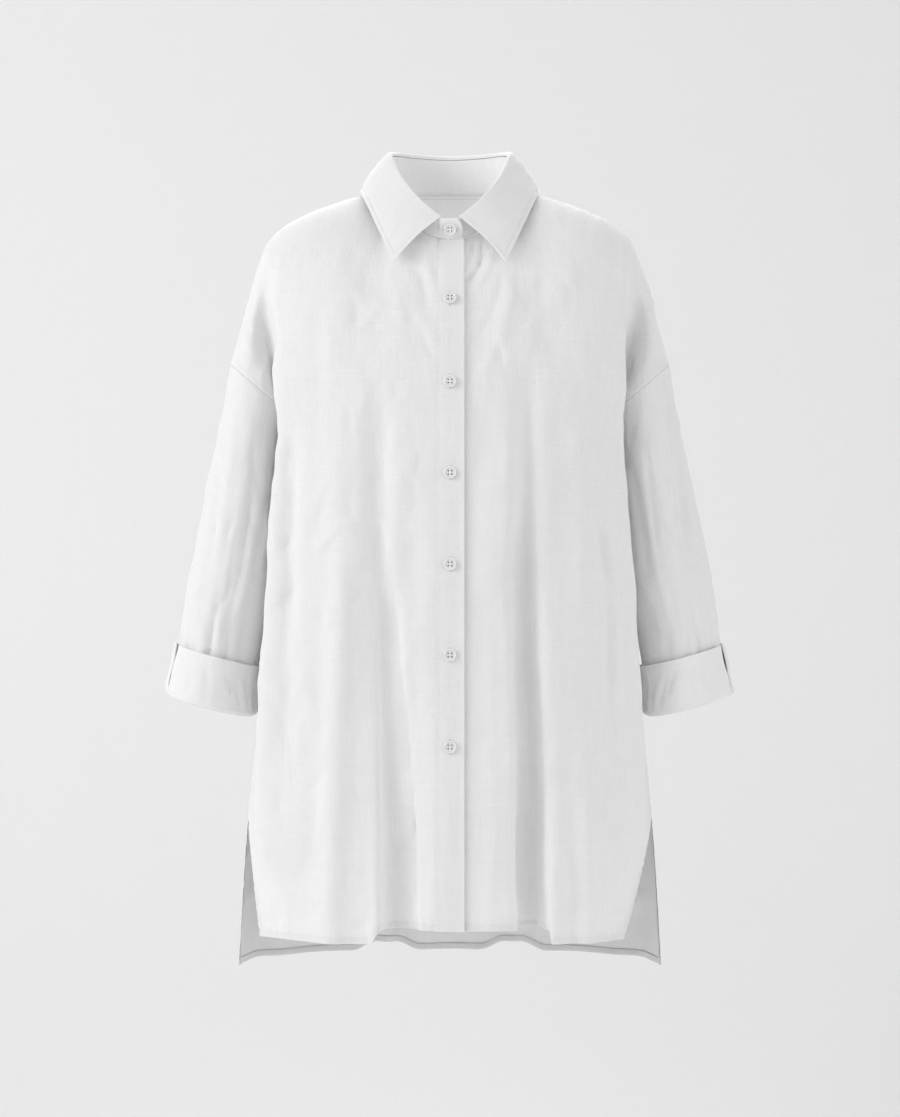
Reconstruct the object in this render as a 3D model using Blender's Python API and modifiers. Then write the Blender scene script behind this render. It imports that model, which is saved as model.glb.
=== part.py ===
"""Oversized linen shirt with a button front, filled out as if worn, with nobody in it.

Metres, +Z up, front towards -Y. The origin is on the base of the neck, where the garment hangs.
Every panel is a wall of cloth laid along one shared form, so that its seams meet 0.3 mm apart.
"""
import math

import bpy
import numpy as np

# Cloth and gaps
CLOTH = 0.0015
BAND = 0.0018
CUFF_CLOTH = 0.0022
GAP = 0.0003
HALF_GAP = GAP / 2

# Levels on the form, as drops below the origin
UNDERARM = 0.226
SLIT_TOP = 0.642
FRONT_HEM = 0.762
BACK_HEM = 0.799

# Places across a half panel: 0 at the centre line, 1 at the outer seam
AT_NECK_SIDE = 0.24
AT_EDGE = 0.70
NEAR_EDGE = 0.64
PAST_CENTRE = 0.1
NEAR_CENTRE = 0.3

# Places down a panel: 0 at neck and shoulder, 1 at the hem
AT_UNDERARM = 0.30
AT_SLIT = 0.82
CORNERS_SOFT_FROM = 0.10

# Neckline
NECK_HALF_WIDTH = 0.068
NECK_FRONT = 0.062
NECK_BACK = 0.055
NECK_FRONT_DROP = 0.050
NECK_SIDE_RISE = 0.006
NECK_BACK_RISE = 0.0105
NECK_FRONT_CURVE = 2.2

# Overlap at the centre front
OVERLAP = 0.0145
PLACKET_LEFT = -0.0125
LAYER_STEP = CLOTH + GAP
LAYER_SPARE = 0.0003
LAYER_FADE = (0.021, 0.046)

# Armhole, an ellipse that tilts up to the outside; the sleeve starts a step outside it at the underarm
ARMHOLE_X = 0.197
ARMHOLE_DROP = 0.200
ARMHOLE_HALF_WIDTH = 0.031
ARMHOLE_HALF_RISE = 0.026
ARMHOLE_FRONT = 0.047
ARMHOLE_BACK = 0.052
UNDERARM_STEP = 0.0025
UNDERARM_PART = (0.17, 0.87)

# Fold between chest and arm: depth, lean, and the stretches down the armhole where it starts and ends
GROOVE_FRONT = 0.034
GROOVE_BACK = 0.030
GROOVE_PLACE = 0.7
GROOVE_START = (0.10, 0.50)
GROOVE_END = (0.72, 1.0)

# Rounding: of the corners of a section, of the chest, of the shoulder outside the neck
ROUND_PASSES = 22
CHEST_CURVE = 2.6
SHOULDER_FROM = (0.10, 0.62)
ARM_SWELL = 1.5

# Shoulder seam: place across, reach from the centre, height
SHOULDER_SEAM = (
    (0.24, 0.068, 0.006),
    (0.36, 0.099, 0.000),
    (0.48, 0.130, -0.010),
    (0.60, 0.162, -0.025),
    (0.70, 0.184, -0.042),
    (0.78, 0.197, -0.066),
    (0.86, 0.207, -0.098),
    (0.93, 0.216, -0.132),
    (1.00, 0.228, -0.174),
)

# Sections of the body: drop, half width, depth at that edge, depth at the centre
FRONT_SECTIONS = (
    (0.226, 0.178, 0.066, 0.114),
    (0.300, 0.182, 0.069, 0.118),
    (0.400, 0.189, 0.072, 0.121),
    (0.505, 0.195, 0.072, 0.121),
    (0.575, 0.199, 0.069, 0.120),
    (0.642, 0.199, 0.066, 0.119),
    (0.762, 0.172, 0.080, 0.117),
)
BACK_SECTIONS = (
    (0.226, 0.173, 0.076, 0.118),
    (0.300, 0.177, 0.080, 0.121),
    (0.400, 0.184, 0.084, 0.123),
    (0.505, 0.192, 0.084, 0.124),
    (0.575, 0.198, 0.081, 0.125),
    (0.642, 0.202, 0.078, 0.126),
    (0.799, 0.206, 0.074, 0.127),
)

# Side seam: drop, reach
SIDE_SEAM = (
    (0.226, 0.166),
    (0.300, 0.169),
    (0.400, 0.177),
    (0.505, 0.191),
    (0.575, 0.203),
    (0.642, 0.2097),
)

# Slit edges at the hem: reach, depth forward
FRONT_SLIT = {1: (0.177, 0.066), -1: (0.195, 0.044)}
BACK_SLIT = (0.2208, -0.010)
FRONT_SLIT_CURVE = (1.35, 1.2)
BACK_SLIT_CURVE = 0.8
HEM_CHEST = 0.86
HEM_CHEST_DEPTH = 0.022

# Folds: x and drop at the upper end, x and drop at the lower end, half width,
# depth out at the upper and at the lower end
FRONT_FOLDS = (
    (-0.107, 0.240, -0.122, 0.762, 0.020, 0.004, 0.008),
    (-0.079, 0.230, -0.057, 0.762, 0.012, -0.004, -0.018),
    (-0.035, 0.300, -0.030, 0.762, 0.020, 0.001, 0.004),
    (0.034, 0.300, 0.034, 0.762, 0.016, 0.001, 0.003),
    (0.072, 0.230, 0.076, 0.762, 0.013, -0.004, -0.017),
    (0.098, 0.420, 0.104, 0.762, 0.014, 0.002, 0.007),
    (0.138, 0.560, 0.141, 0.762, 0.020, 0.002, 0.006),
    (0.150, 0.330, 0.162, 0.640, 0.012, -0.005, -0.004),
    (-0.160, 0.260, -0.168, 0.600, 0.012, -0.005, -0.004),
)
BACK_FOLDS = (
    (-0.120, 0.200, -0.130, 0.799, 0.020, 0.003, 0.007),
    (-0.070, 0.140, -0.068, 0.799, 0.018, -0.004, -0.014),
    (-0.006, 0.120, 0.000, 0.799, 0.024, 0.003, 0.008),
    (0.062, 0.160, 0.068, 0.799, 0.018, -0.004, -0.014),
    (0.122, 0.220, 0.134, 0.799, 0.020, 0.003, 0.008),
    (-0.170, 0.500, -0.178, 0.799, 0.014, -0.001, -0.006),
    (0.168, 0.480, 0.176, 0.799, 0.014, -0.001, -0.006),
)

# Folds start and end softly, as shares of their length, and fade out before the side seam
FOLD_START = (-0.25, 0.20)
FOLD_END = (0.8, 1.25)
FOLD_INSIDE = (0.80, 0.97)
HEM_FOLDS_FROM = 0.752

# Lift of the hem between two folds: from x, to x, rise, width of the step
FRONT_LIFT = (-0.078, 0.099, 0.014, 0.006)
BACK_LIFTS = ((-0.092, -0.046, 0.011, 0.014), (0.046, 0.090, 0.011, 0.014))

# Sleeve below the armhole: drop and reach of the middle, half width, depth to the front and back, tilt
SLEEVE_SECTIONS = (
    (0.226, 0.2024, 0.0304, 0.048, 0.052, 34.0),
    (0.255, 0.2068, 0.0327, 0.050, 0.053, 27.0),
    (0.290, 0.2115, 0.0360, 0.052, 0.054, 21.0),
    (0.340, 0.2190, 0.0385, 0.053, 0.056, 17.0),
    (0.400, 0.2290, 0.0400, 0.053, 0.056, 16.0),
    (0.450, 0.2390, 0.0375, 0.049, 0.052, 16.0),
    (0.490, 0.2450, 0.0365, 0.047, 0.050, 16.0),
    (0.5195, 0.2490, 0.0390, 0.048, 0.051, 16.0),
)

# Cuff: drop and reach of the middle, half width, depth to the front and back; from its top edge it
# comes down outside the sleeve, turns in at the fold and ends against the sleeve's own edge
CUFF_SECTIONS = (
    (0.475, 0.2430, 0.0418, 0.0530, 0.0560),
    (0.492, 0.2452, 0.0432, 0.0540, 0.0570),
    (0.509, 0.2474, 0.0446, 0.0550, 0.0580),
    (0.522, 0.2492, 0.0456, 0.0555, 0.0585),
    (0.5265, 0.2500, 0.0448, 0.0545, 0.0575),
    (0.5275, 0.2500, 0.0420, 0.0515, 0.0545),
    (0.5206, 0.2491, 0.0392, 0.0482, 0.0512),
)
CUFF_TILT = 16.0
VENT_ANGLE = 22.0
VENT_TOP = 0.0050
VENT_FOOT = 0.0012
CUFF_OUTER_ROWS = 3

# Collar: degrees round the neck from the middle of the back, then x, y and z of its roll line,
# and x, y and z of its outer edge, on the left side
COLLAR_SECTIONS = (
    (0.0, 0.0000, 0.0590, 0.0470, 0.0000, 0.0870, 0.0030),
    (47.0, 0.0490, 0.0400, 0.0480, 0.0760, 0.0640, 0.0040),
    (88.0, 0.0605, 0.0050, 0.0430, 0.0930, 0.0080, 0.0060),
    (119.0, 0.0520, -0.0250, 0.0200, 0.0890, -0.0190, -0.0030),
    (142.0, 0.0400, -0.0460, 0.0010, 0.0800, -0.0420, -0.0230),
    (156.0, 0.0260, -0.0585, -0.0145, 0.0690, -0.0660, -0.0480),
    (172.0, 0.0092, -0.0665, -0.0290, 0.0565, -0.0860, -0.0750),
)
ROLL_START = 0.0019
ROLL_RISE = 0.0038
ROLL_OUT = 0.0040
ROLL_TOP = (0.0042, 0.0014)
COLLAR_BULGE = 0.004
STAND_FOOT = 0.0013
STAND_END = 190.3
STAND_LAP = 0.00110
STAND_LAP_PART = (155.0, 178.0)
STAND_END_DROP = 0.010
STAND_END_ROUND = (183.0, 191.3)
STAND_END_RISE = 0.0009
STAND_END_PART = (174.0, 181.0)
STAND_END_MIDDLE = 0.55
STAND_TOP = 0.00144

# Buttons
BUTTON_RADIUS = 0.0061
BUTTON_THICKNESS = 0.0026
BUTTON_BEVEL = 0.0006
BUTTON_LIFT = 0.0007
BUTTON_SIDES = 16
BUTTON_SPAN = 0.009
BUTTON_DROPS = (0.0404, 0.1131, 0.1978, 0.2891, 0.3805, 0.4713, 0.5630)

# Grids
ARM_ROWS = 10
BODY_ROWS = 11
SLIT_ROWS = 3
NECK_COLUMNS = 5
CHEST_COLUMNS = 8
EDGE_COLUMNS = 7
PLACKET_COLUMNS = 2
FINE_COLUMNS = 160
COLLAR_COLUMNS = 28
COLLAR_ROWS = 5
STAND_ROWS = 2

# Finish of the cloth and of the buttons: colour and roughness
LINEN = ((0.79, 0.80, 0.81), 0.85)
SHELL = ((0.86, 0.86, 0.85), 0.35)
SHARP_ANGLE = math.radians(50)


def remove_everything():
    for old in list(bpy.data.objects):
        bpy.data.objects.remove(old, do_unlink=True)


def table_curve(table, column, at):
    """A smooth curve through one column of a table, over its first column, with no overshoot."""
    knots = np.array([row[0] for row in table])
    values = np.array([row[column] for row in table])
    step = np.diff(knots)
    slope = np.diff(values) / step
    tangent = np.zeros(len(knots))
    tangent[0] = slope[0]
    tangent[-1] = slope[-1]
    before, after = slope[:-1], slope[1:]
    same_way = before * after > 0
    total = np.where(same_way, before + after, 1.0)
    tangent[1:-1] = np.where(same_way, 2 * before * after / total, 0.0)
    at = np.clip(at, knots[0], knots[-1])
    i = np.clip(np.searchsorted(knots, at, side="right") - 1, 0, len(knots) - 2)
    h = step[i]
    t = (at - knots[i]) / h
    start = values[i] * (1 + 2 * t) * (1 - t) ** 2 + tangent[i] * h * t * (1 - t) ** 2
    return start + values[i + 1] * t * t * (3 - 2 * t) + tangent[i + 1] * h * t * t * (t - 1)


def ease(value, low, high):
    """0 up to low, 1 from high on, with a soft slope between."""
    t = np.clip((value - low) / (high - low), 0.0, 1.0)
    return t * t * (3 - 2 * t)


def mix(a, b, t):
    return a + (b - a) * t


def unit(vectors):
    return vectors / np.linalg.norm(vectors, axis=-1, keepdims=True)


# The form of the body

def neckline(face, across):
    """Reach, depth and height of the neckline, across from 0 at the centre to 1 at the neck side."""
    angle = across * math.pi / 2
    reach = NECK_HALF_WIDTH * np.sin(angle)
    if face == "front":
        depth = NECK_FRONT * np.cos(angle)
        rise = np.abs(np.sin(angle)) ** NECK_FRONT_CURVE
        height = mix(-NECK_FRONT_DROP, NECK_SIDE_RISE, rise)
    else:
        depth = NECK_BACK * np.cos(angle)
        height = mix(NECK_BACK_RISE, NECK_SIDE_RISE, np.sin(angle) ** 2)
    return reach, depth, height


def top_row(face, u):
    """Neckline, then shoulder seam down to the top of the armhole."""
    n_reach, n_depth, n_height = neckline(face, np.clip(u / AT_NECK_SIDE, 0, 1))
    on_seam = u > AT_NECK_SIDE
    reach = np.where(on_seam, table_curve(SHOULDER_SEAM, 1, u), n_reach)
    height = np.where(on_seam, table_curve(SHOULDER_SEAM, 2, u), n_height)
    depth = np.where(on_seam, 0.0, n_depth)
    return reach, depth, height


def armhole(face, t):
    """The armhole seam, from its top outside to the underarm."""
    angle = t * math.pi
    depth = ARMHOLE_FRONT if face == "front" else ARMHOLE_BACK
    reach = ARMHOLE_X + ARMHOLE_HALF_WIDTH * np.cos(angle)
    height = -ARMHOLE_DROP + ARMHOLE_HALF_RISE * np.cos(angle)
    return reach, depth * np.sin(angle), height


def section(face, side, drop, u):
    """Reach and depth of a level section of the body below the underarm."""
    table = FRONT_SECTIONS if face == "front" else BACK_SECTIONS
    width = table_curve(table, 1, drop)
    edge = table_curve(table, 2, drop)
    centre = table_curve(table, 3, drop)
    seam = table_curve(SIDE_SEAM, 1, drop)
    seam_depth = np.zeros_like(drop)
    hem = FRONT_HEM if face == "front" else BACK_HEM
    open_part = np.clip((drop - SLIT_TOP) / (hem - SLIT_TOP), 0, 1)
    if face == "front":
        hem_reach, hem_depth = FRONT_SLIT[side]
        width = mix(width, hem_reach * HEM_CHEST, ease(open_part, 0, 1))
        edge = mix(edge, hem_depth + HEM_CHEST_DEPTH, ease(open_part, 0, 1))
        seam = mix(seam, hem_reach, open_part ** FRONT_SLIT_CURVE[0])
        seam_depth = hem_depth * open_part ** FRONT_SLIT_CURVE[1]
    else:
        seam = mix(seam, BACK_SLIT[0], open_part ** BACK_SLIT_CURVE)
        seam_depth = -BACK_SLIT[1] * open_part
    inner = np.clip(u / AT_EDGE, 0, 1)
    outer = np.clip((u - AT_EDGE) / (1 - AT_EDGE), 0, 1)
    reach = np.where(u < AT_EDGE, width * inner, mix(width, seam, outer))
    rounded = mix(edge, centre, 1 - inner ** CHEST_CURVE)
    depth = np.where(u < AT_EDGE, rounded, mix(edge, seam_depth, outer))
    return reach, depth


def upper_body(face, side, t, u):
    """Reach, depth and height between the shoulder, t = 0, and the underarm, t = 1."""
    top = top_row(face, u)
    low_reach, low_depth = section(face, side, np.full_like(u, UNDERARM), u)
    shoulder = np.sqrt(1 - (1 - t) ** 2)
    chest = 1 - (1 - t) ** 2
    bulge = mix(chest, shoulder, ease(u, *SHOULDER_FROM))
    reach = mix(top[0], low_reach, t)
    depth = mix(top[1], low_depth, bulge)
    height = mix(top[2], -UNDERARM, t)
    # past the edge of the chest the cloth dips into the fold and comes out over the arm
    at_edge = np.full_like(u, AT_EDGE)
    q = np.clip((u - AT_EDGE) / (1 - AT_EDGE), 0, 1)
    edge_top = top_row(face, at_edge)
    edge_low = section(face, side, np.full_like(u, UNDERARM), at_edge)
    arm_top = armhole(face, 0.0)
    arm = armhole(face, t)
    edge = (mix(edge_top[0], edge_low[0], t), edge_low[1] * shoulder, mix(edge_top[2], -UNDERARM, t))
    swell = (1 - t) ** ARM_SWELL
    lobe_reach = mix(edge[0], arm[0], q) + (top[0] - mix(edge_top[0], arm_top[0], q)) * swell
    lobe_height = mix(edge[2], arm[2], q) + (top[2] - mix(edge_top[2], arm_top[2], q)) * swell
    groove = GROOVE_FRONT if face == "front" else GROOVE_BACK
    along = ease(t, *GROOVE_START) * (1 - ease(t, *GROOVE_END))
    dip = groove * along * np.sin(math.pi * q ** GROOVE_PLACE) ** 2
    lobe_depth = mix(edge[1], arm[1], q) - dip
    past = u > AT_EDGE
    return (np.where(past, lobe_reach, reach), np.where(past, lobe_depth, depth),
            np.where(past, lobe_height, height))


def fold_depth(folds, x, drop):
    """How far the folds stand out at a place on a panel."""
    out = np.zeros_like(x)
    for top_x, top, low_x, low, half_width, at_top, at_low in folds:
        down = (drop - top) / (low - top)
        line = mix(top_x, low_x, np.clip(down, 0, FOLD_END[1]))
        strength = mix(at_top, at_low, np.clip(down, 0, 1)) * ease(down, *FOLD_START)
        if low < HEM_FOLDS_FROM:
            strength = strength * (1 - ease(down, *FOLD_END))
        out += strength * np.exp(-((x - line) / half_width) ** 2)
    return out


def hem_lift(lifts, x):
    lift = np.zeros_like(x)
    for start, end, rise, step in lifts:
        lift += rise * ease(x, start - step, start + step) * (1 - ease(x, end - step, end + step))
    return lift


def round_corners(reach, depth, amount):
    """Softens the corners along each row, apart from its ends; amount is 0 where they stay."""
    soft_reach, soft_depth = reach.copy(), depth.copy()
    for _ in range(ROUND_PASSES):
        for line in (soft_reach, soft_depth):
            line[:, 1:-1] = (line[:, :-2] + 2 * line[:, 1:-1] + line[:, 2:]) / 4
    return mix(reach, soft_reach, amount), mix(depth, soft_depth, amount)


def body_grid(face, side, v):
    """The form of a half panel on a fine grid: a row for each v, a column for each u.

    Places at a negative u lie past the centre line, on the other half.
    """
    u_line = np.linspace(-PAST_CENTRE, 1.0, FINE_COLUMNS + 1)
    v, u = np.meshgrid(v, np.abs(u_line), indexing="ij")
    t = np.clip(v / AT_UNDERARM, 0, 1)
    up_reach, up_depth, up_height = upper_body(face, side, t, u)
    seam_hem = FRONT_HEM if face == "front" else BACK_HEM
    drop = np.where(v < AT_SLIT,
                    mix(UNDERARM, SLIT_TOP, (v - AT_UNDERARM) / (AT_SLIT - AT_UNDERARM)),
                    mix(SLIT_TOP, seam_hem, (v - AT_SLIT) / (1 - AT_SLIT)))
    low_reach, low_depth = section(face, side, drop, u)
    upper = v < AT_UNDERARM
    reach = np.where(upper, up_reach, low_reach)
    depth = np.where(upper, up_depth, low_depth)
    height = np.where(upper, up_height, -drop)
    amount = ease(v, 0.0, CORNERS_SOFT_FROM)
    reach, depth = round_corners(reach * np.sign(u_line)[None, :], depth, amount)
    x = side * reach
    inside = 1 - ease(u, *FOLD_INSIDE)
    folds = FRONT_FOLDS if face == "front" else BACK_FOLDS
    depth = depth + fold_depth(folds, x, -height) * inside
    lifts = (FRONT_LIFT,) if face == "front" else BACK_LIFTS
    near_hem = ease(v, AT_UNDERARM, 1.0)
    height = height + hem_lift(lifts, x) * near_hem
    y = -depth if face == "front" else depth
    return u_line, np.stack([x, y, height], axis=-1)


def columns_at(u_line, grid, u):
    """Columns of the fine grid at the given places."""
    out = np.empty((grid.shape[0], len(u), 3))
    for row in range(grid.shape[0]):
        for axis in range(3):
            out[row, :, axis] = np.interp(u, u_line, grid[row, :, axis])
    return out


def u_at_x(u_line, grid, x):
    """The place across each row where its x has a value near the centre line."""
    near = u_line < NEAR_CENTRE
    line = grid[:, near, 0]
    if line[0, -1] < line[0, 0]:
        return np.array([np.interp(-x, -row, u_line[near]) for row in line])
    return np.array([np.interp(x, row, u_line[near]) for row in line])


def panel_rows():
    """Rows down a panel, with one on the underarm and one on the top of the slit."""
    arm = np.linspace(0, AT_UNDERARM, ARM_ROWS + 1)
    body = np.linspace(AT_UNDERARM, AT_SLIT, BODY_ROWS + 1)[1:]
    slit = np.linspace(AT_SLIT, 1.0, SLIT_ROWS + 1)[1:]
    return np.concatenate([arm, body, slit])


def places_across():
    """Places across a half panel, with one at the neck side and closer ones round the edge of the chest."""
    neck = np.linspace(0, AT_NECK_SIDE, NECK_COLUMNS + 1)
    chest = np.linspace(AT_NECK_SIDE, NEAR_EDGE, CHEST_COLUMNS + 1)[1:]
    edge = np.linspace(NEAR_EDGE, 1.0, EDGE_COLUMNS + 1)[1:]
    return np.concatenate([neck, chest, edge])


def grid_normals(points, closed=False):
    """Normals of a grid of points, from the rows and columns on either side."""
    down = np.gradient(points, axis=0)
    if closed:
        over = np.roll(points, -1, axis=1) - np.roll(points, 1, axis=1)
    else:
        over = np.gradient(points, axis=1)
    return unit(np.cross(over, down))


# Solids

def new_object(name, points, faces, material, collection):
    mesh = bpy.data.meshes.new(name)
    mesh.from_pydata([tuple(p) for p in points], [], faces)
    mesh.validate()
    mesh.shade_smooth()
    mesh.set_sharp_from_angle(angle=SHARP_ANGLE)
    mesh.materials.append(material)
    made = bpy.data.objects.new(name, mesh)
    collection.objects.link(made)
    return made


def wall_between(outer, inner, closed):
    """Faces of the wall between two grids of points: a sheet, or a tube where it is closed."""
    rows, columns = outer.shape[:2]
    points = np.concatenate([outer.reshape(-1, 3), inner.reshape(-1, 3)])
    back = rows * columns
    last = columns if closed else columns - 1
    faces = []
    for r in range(rows - 1):
        for c in range(last):
            a = r * columns + c
            b = r * columns + (c + 1) % columns
            d = a + columns
            e = b + columns
            faces.append((a, d, e, b))
            faces.append((back + a, back + b, back + e, back + d))
    for c in range(last):
        a = c
        b = (c + 1) % columns
        faces.append((a, b, back + b, back + a))
        d = (rows - 1) * columns + a
        e = (rows - 1) * columns + b
        faces.append((e, d, back + d, back + e))
    if not closed:
        for r in range(rows - 1):
            a = r * columns
            d = a + columns
            faces.append((d, a, back + a, back + d))
            b = a + columns - 1
            e = b + columns
            faces.append((b, e, back + e, back + b))
    return points, faces


def cloth_solid(name, middle, normals, wall, material, collection, closed=False):
    """A wall of even thickness about a grid of points."""
    outer = middle + normals * wall / 2
    inner = middle - normals * wall / 2
    points, faces = wall_between(outer, inner, closed)
    if signed_volume(points, faces) < 0:
        faces = [face[::-1] for face in faces]
    return new_object(name, points, faces, material, collection)


def signed_volume(points, faces):
    total = 0.0
    for face in faces:
        a = points[face[0]]
        for i in range(1, len(face) - 1):
            total += np.dot(a, np.cross(points[face[i]], points[face[i + 1]]))
    return total / 6


def step_back(points, axis, end, distance):
    """Moves one edge row or column of a grid back along the cloth."""
    moved = points.copy()
    edge = [slice(None)] * 3
    near = [slice(None)] * 3
    edge[axis] = 0 if end == "start" else -1
    near[axis] = 1 if end == "start" else -2
    edge, near = tuple(edge), tuple(near)
    moved[edge] = points[edge] + unit(points[near] - points[edge]) * distance
    return moved


def plain_material(name, colour, roughness):
    made = bpy.data.materials.new(name)
    made.use_nodes = True
    shader = made.node_tree.nodes["Principled BSDF"]
    shader.inputs["Base Color"].default_value = (*colour, 1.0)
    shader.inputs["Roughness"].default_value = roughness
    shader.inputs["Metallic"].default_value = 0.0
    return made


# Panels

def front_panel(side):
    """Points of a front half: a column past the centre line, then the shared places across."""
    rows = panel_rows()
    u_line, grid = body_grid("front", side, rows)
    start = u_at_x(u_line, grid, -side * OVERLAP)
    lap = [columns_at(u_line, grid[r:r + 1], start[r:r + 1]) for r in range(len(rows))]
    return np.concatenate([np.concatenate(lap), columns_at(u_line, grid, places_across())], axis=1)


def back_half(side):
    u_line, grid = body_grid("back", side, panel_rows())
    return columns_at(u_line, grid, places_across())


def sleeve_rings(side):
    """Rings of a sleeve; each starts outside, goes round by the front and comes back by the back."""
    angles = np.linspace(0, 2 * math.pi, 2 * ARM_ROWS, endpoint=False)
    to_front = np.sin(angles) >= 0
    depth = np.where(to_front, ARMHOLE_FRONT, ARMHOLE_BACK)
    x = ARMHOLE_X + ARMHOLE_HALF_WIDTH * np.cos(angles)
    z = -ARMHOLE_DROP + ARMHOLE_HALF_RISE * np.cos(angles)
    underarm = ease(-np.cos(angles), *UNDERARM_PART)
    x = x + UNDERARM_STEP * underarm
    rings = [np.stack([side * x, -depth * np.sin(angles), z], axis=-1)]
    for drop, reach, half, front, back, tilt in SLEEVE_SECTIONS:
        rings.append(tilted_ring(side, angles, drop, reach, half, front, back, tilt))
    return np.array(rings)


def tilted_ring(side, angles, drop, reach, half, front, back, tilt):
    depth = np.where(np.sin(angles) >= 0, front, back)
    x = reach + half * np.cos(angles)
    z = -drop + half * np.tan(math.radians(tilt)) * np.cos(angles)
    return np.stack([side * x, -depth * np.sin(angles), z], axis=-1)


def outward(points, normals, centre_x):
    """Turns normals away from an upright axis."""
    away = (points - np.array([centre_x, 0.0, 0.0])) * (1, 1, 0)
    return -normals if np.sum(normals * away) < 0 else normals


def make_body(material, collection):
    """Fronts, back and sleeves, with shared normals along their seams."""
    fronts = {side: front_panel(side) for side in (1, -1)}
    backs = {side: back_half(side) for side in (1, -1)}
    sleeves = {side: sleeve_rings(side) for side in (1, -1)}
    front_normals, back_normals, sleeve_normals = {}, {}, {}
    for side in (1, -1):
        nf = outward(fronts[side], grid_normals(fronts[side]), 0.0)
        nb = outward(backs[side], grid_normals(backs[side]), 0.0)
        ns = grid_normals(sleeves[side], closed=True)
        ns = outward(sleeves[side], ns, side * ARMHOLE_X)
        share_seams(nf, nb, ns)
        front_normals[side], back_normals[side], sleeve_normals[side] = nf, nb, ns
    for side, name in ((-1, "front_right"), (1, "front_left")):
        points = trim_half(fronts[side])
        if side == 1:
            lower = (LAYER_STEP + LAYER_SPARE) * (1 - ease(points[..., 0], *LAYER_FADE))
            points = points - front_normals[side] * lower[..., None]
        cloth_solid(name, points, front_normals[side], CLOTH, material, collection)
    whole_back = np.concatenate([trim_half(backs[-1])[:, :0:-1], trim_half(backs[1])], axis=1)
    normals = np.concatenate([back_normals[-1][:, :0:-1], back_normals[1]], axis=1)
    middle = normals.shape[1] // 2
    normals[:, middle] = unit(normals[:, middle - 1] + normals[:, middle + 1])
    cloth_solid("back", whole_back, normals, CLOTH, material, collection)
    for side, name in ((-1, "sleeve_right"), (1, "sleeve_left")):
        rings = step_back(sleeves[side], 0, "start", HALF_GAP)
        cloth_solid(name, rings, sleeve_normals[side], CLOTH, material, collection, closed=True)
    return fronts[-1]


def trim_half(points):
    points = step_back(points, 1, "end", HALF_GAP)
    return step_back(points, 0, "start", HALF_GAP)


def share_seams(nf, nb, ns):
    """Gives the two sides of each seam the same normals: front, back and sleeve."""
    from_neck = NECK_COLUMNS
    met = unit(nf[0, from_neck + 1:] + nb[0, from_neck:])
    nf[0, from_neck + 1:] = met
    nb[0, from_neck:] = met
    side = slice(ARM_ROWS, ARM_ROWS + BODY_ROWS + 1)
    met = unit(nf[side, -1] + nb[side, -1])
    nf[side, -1] = met
    nb[side, -1] = met
    met = unit(nf[0, -1] + ns[0, 0])
    nf[0, -1] = nb[0, -1] = ns[0, 0] = met
    for r in range(1, ARM_ROWS):
        for panel, ring_place in ((nf, r), (nb, -r)):
            met = unit(panel[r, -1] + ns[0, ring_place])
            panel[r, -1] = ns[0, ring_place] = met


def make_placket(material, collection):
    """The band on the right front, made from the panel's own points, moved out."""
    rows = panel_rows()
    u_line, grid = body_grid("front", -1, rows)
    low = u_at_x(u_line, grid, OVERLAP)
    high = u_at_x(u_line, grid, PLACKET_LEFT)
    points = np.empty((len(rows), PLACKET_COLUMNS + 1, 3))
    for r in range(len(rows)):
        u = np.linspace(low[r], high[r], PLACKET_COLUMNS + 1)
        points[r] = columns_at(u_line, grid[r:r + 1], u)[0]
    normals = outward(points, grid_normals(points), 0.0)
    points = step_back(points, 0, "start", GAP * 3)
    points = points + normals * LAYER_STEP
    cloth_solid("placket", points, normals, CLOTH, material, collection)


# Collar

def round_neck(first, degrees):
    """Points round the neck from the collar's table, left where degrees are above 0."""
    rows = COLLAR_SECTIONS
    mirrored = [(-row[0], -row[first], row[first + 1], row[first + 2]) for row in rows[:0:-1]]
    whole = mirrored + [(row[0], row[first], row[first + 1], row[first + 2]) for row in rows]
    return np.stack([table_curve(whole, axis, degrees) for axis in (1, 2, 3)], axis=-1)


def collar_grid():
    reach = COLLAR_SECTIONS[-1][0]
    degrees = np.linspace(-reach, reach, COLLAR_COLUMNS + 1)
    roll = round_neck(1, degrees)
    edge = round_neck(4, degrees)
    out = unit((edge - roll) * (1, 1, 0))
    up = np.array([0.0, 0.0, 1.0])
    turn = roll + up * ROLL_RISE + out * ROLL_OUT
    rows = [roll + up * ROLL_START, roll + up * ROLL_TOP[0] + out * ROLL_TOP[1]]
    for k in range(COLLAR_ROWS):
        t = k / (COLLAR_ROWS - 1)
        rows.append(mix(turn, edge, t) + out * COLLAR_BULGE * math.sin(math.pi * t))
    return np.array(rows)


def make_collar(material, collection):
    points = collar_grid()
    normals = grid_normals(points)
    if normals[-1, COLLAR_COLUMNS // 2, 1] < 0:
        normals = -normals
    cloth_solid("collar", points, normals, BAND, material, collection)


def neck_ring(degrees):
    """The neckline, by degrees from the middle of the back; past 180 it crosses the centre front."""
    from_front = np.radians(180 - np.abs(degrees))
    side = np.where(degrees < 0, -1.0, 1.0)
    front = neckline("front", from_front / (math.pi / 2))
    back = neckline("back", (math.pi - from_front) / (math.pi / 2))
    ahead = from_front < math.pi / 2
    reach, depth, height = (np.where(ahead, f, b) for f, b in zip(front, back))
    return np.stack([side * reach, np.where(ahead, -depth, depth), height], axis=-1)


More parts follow.
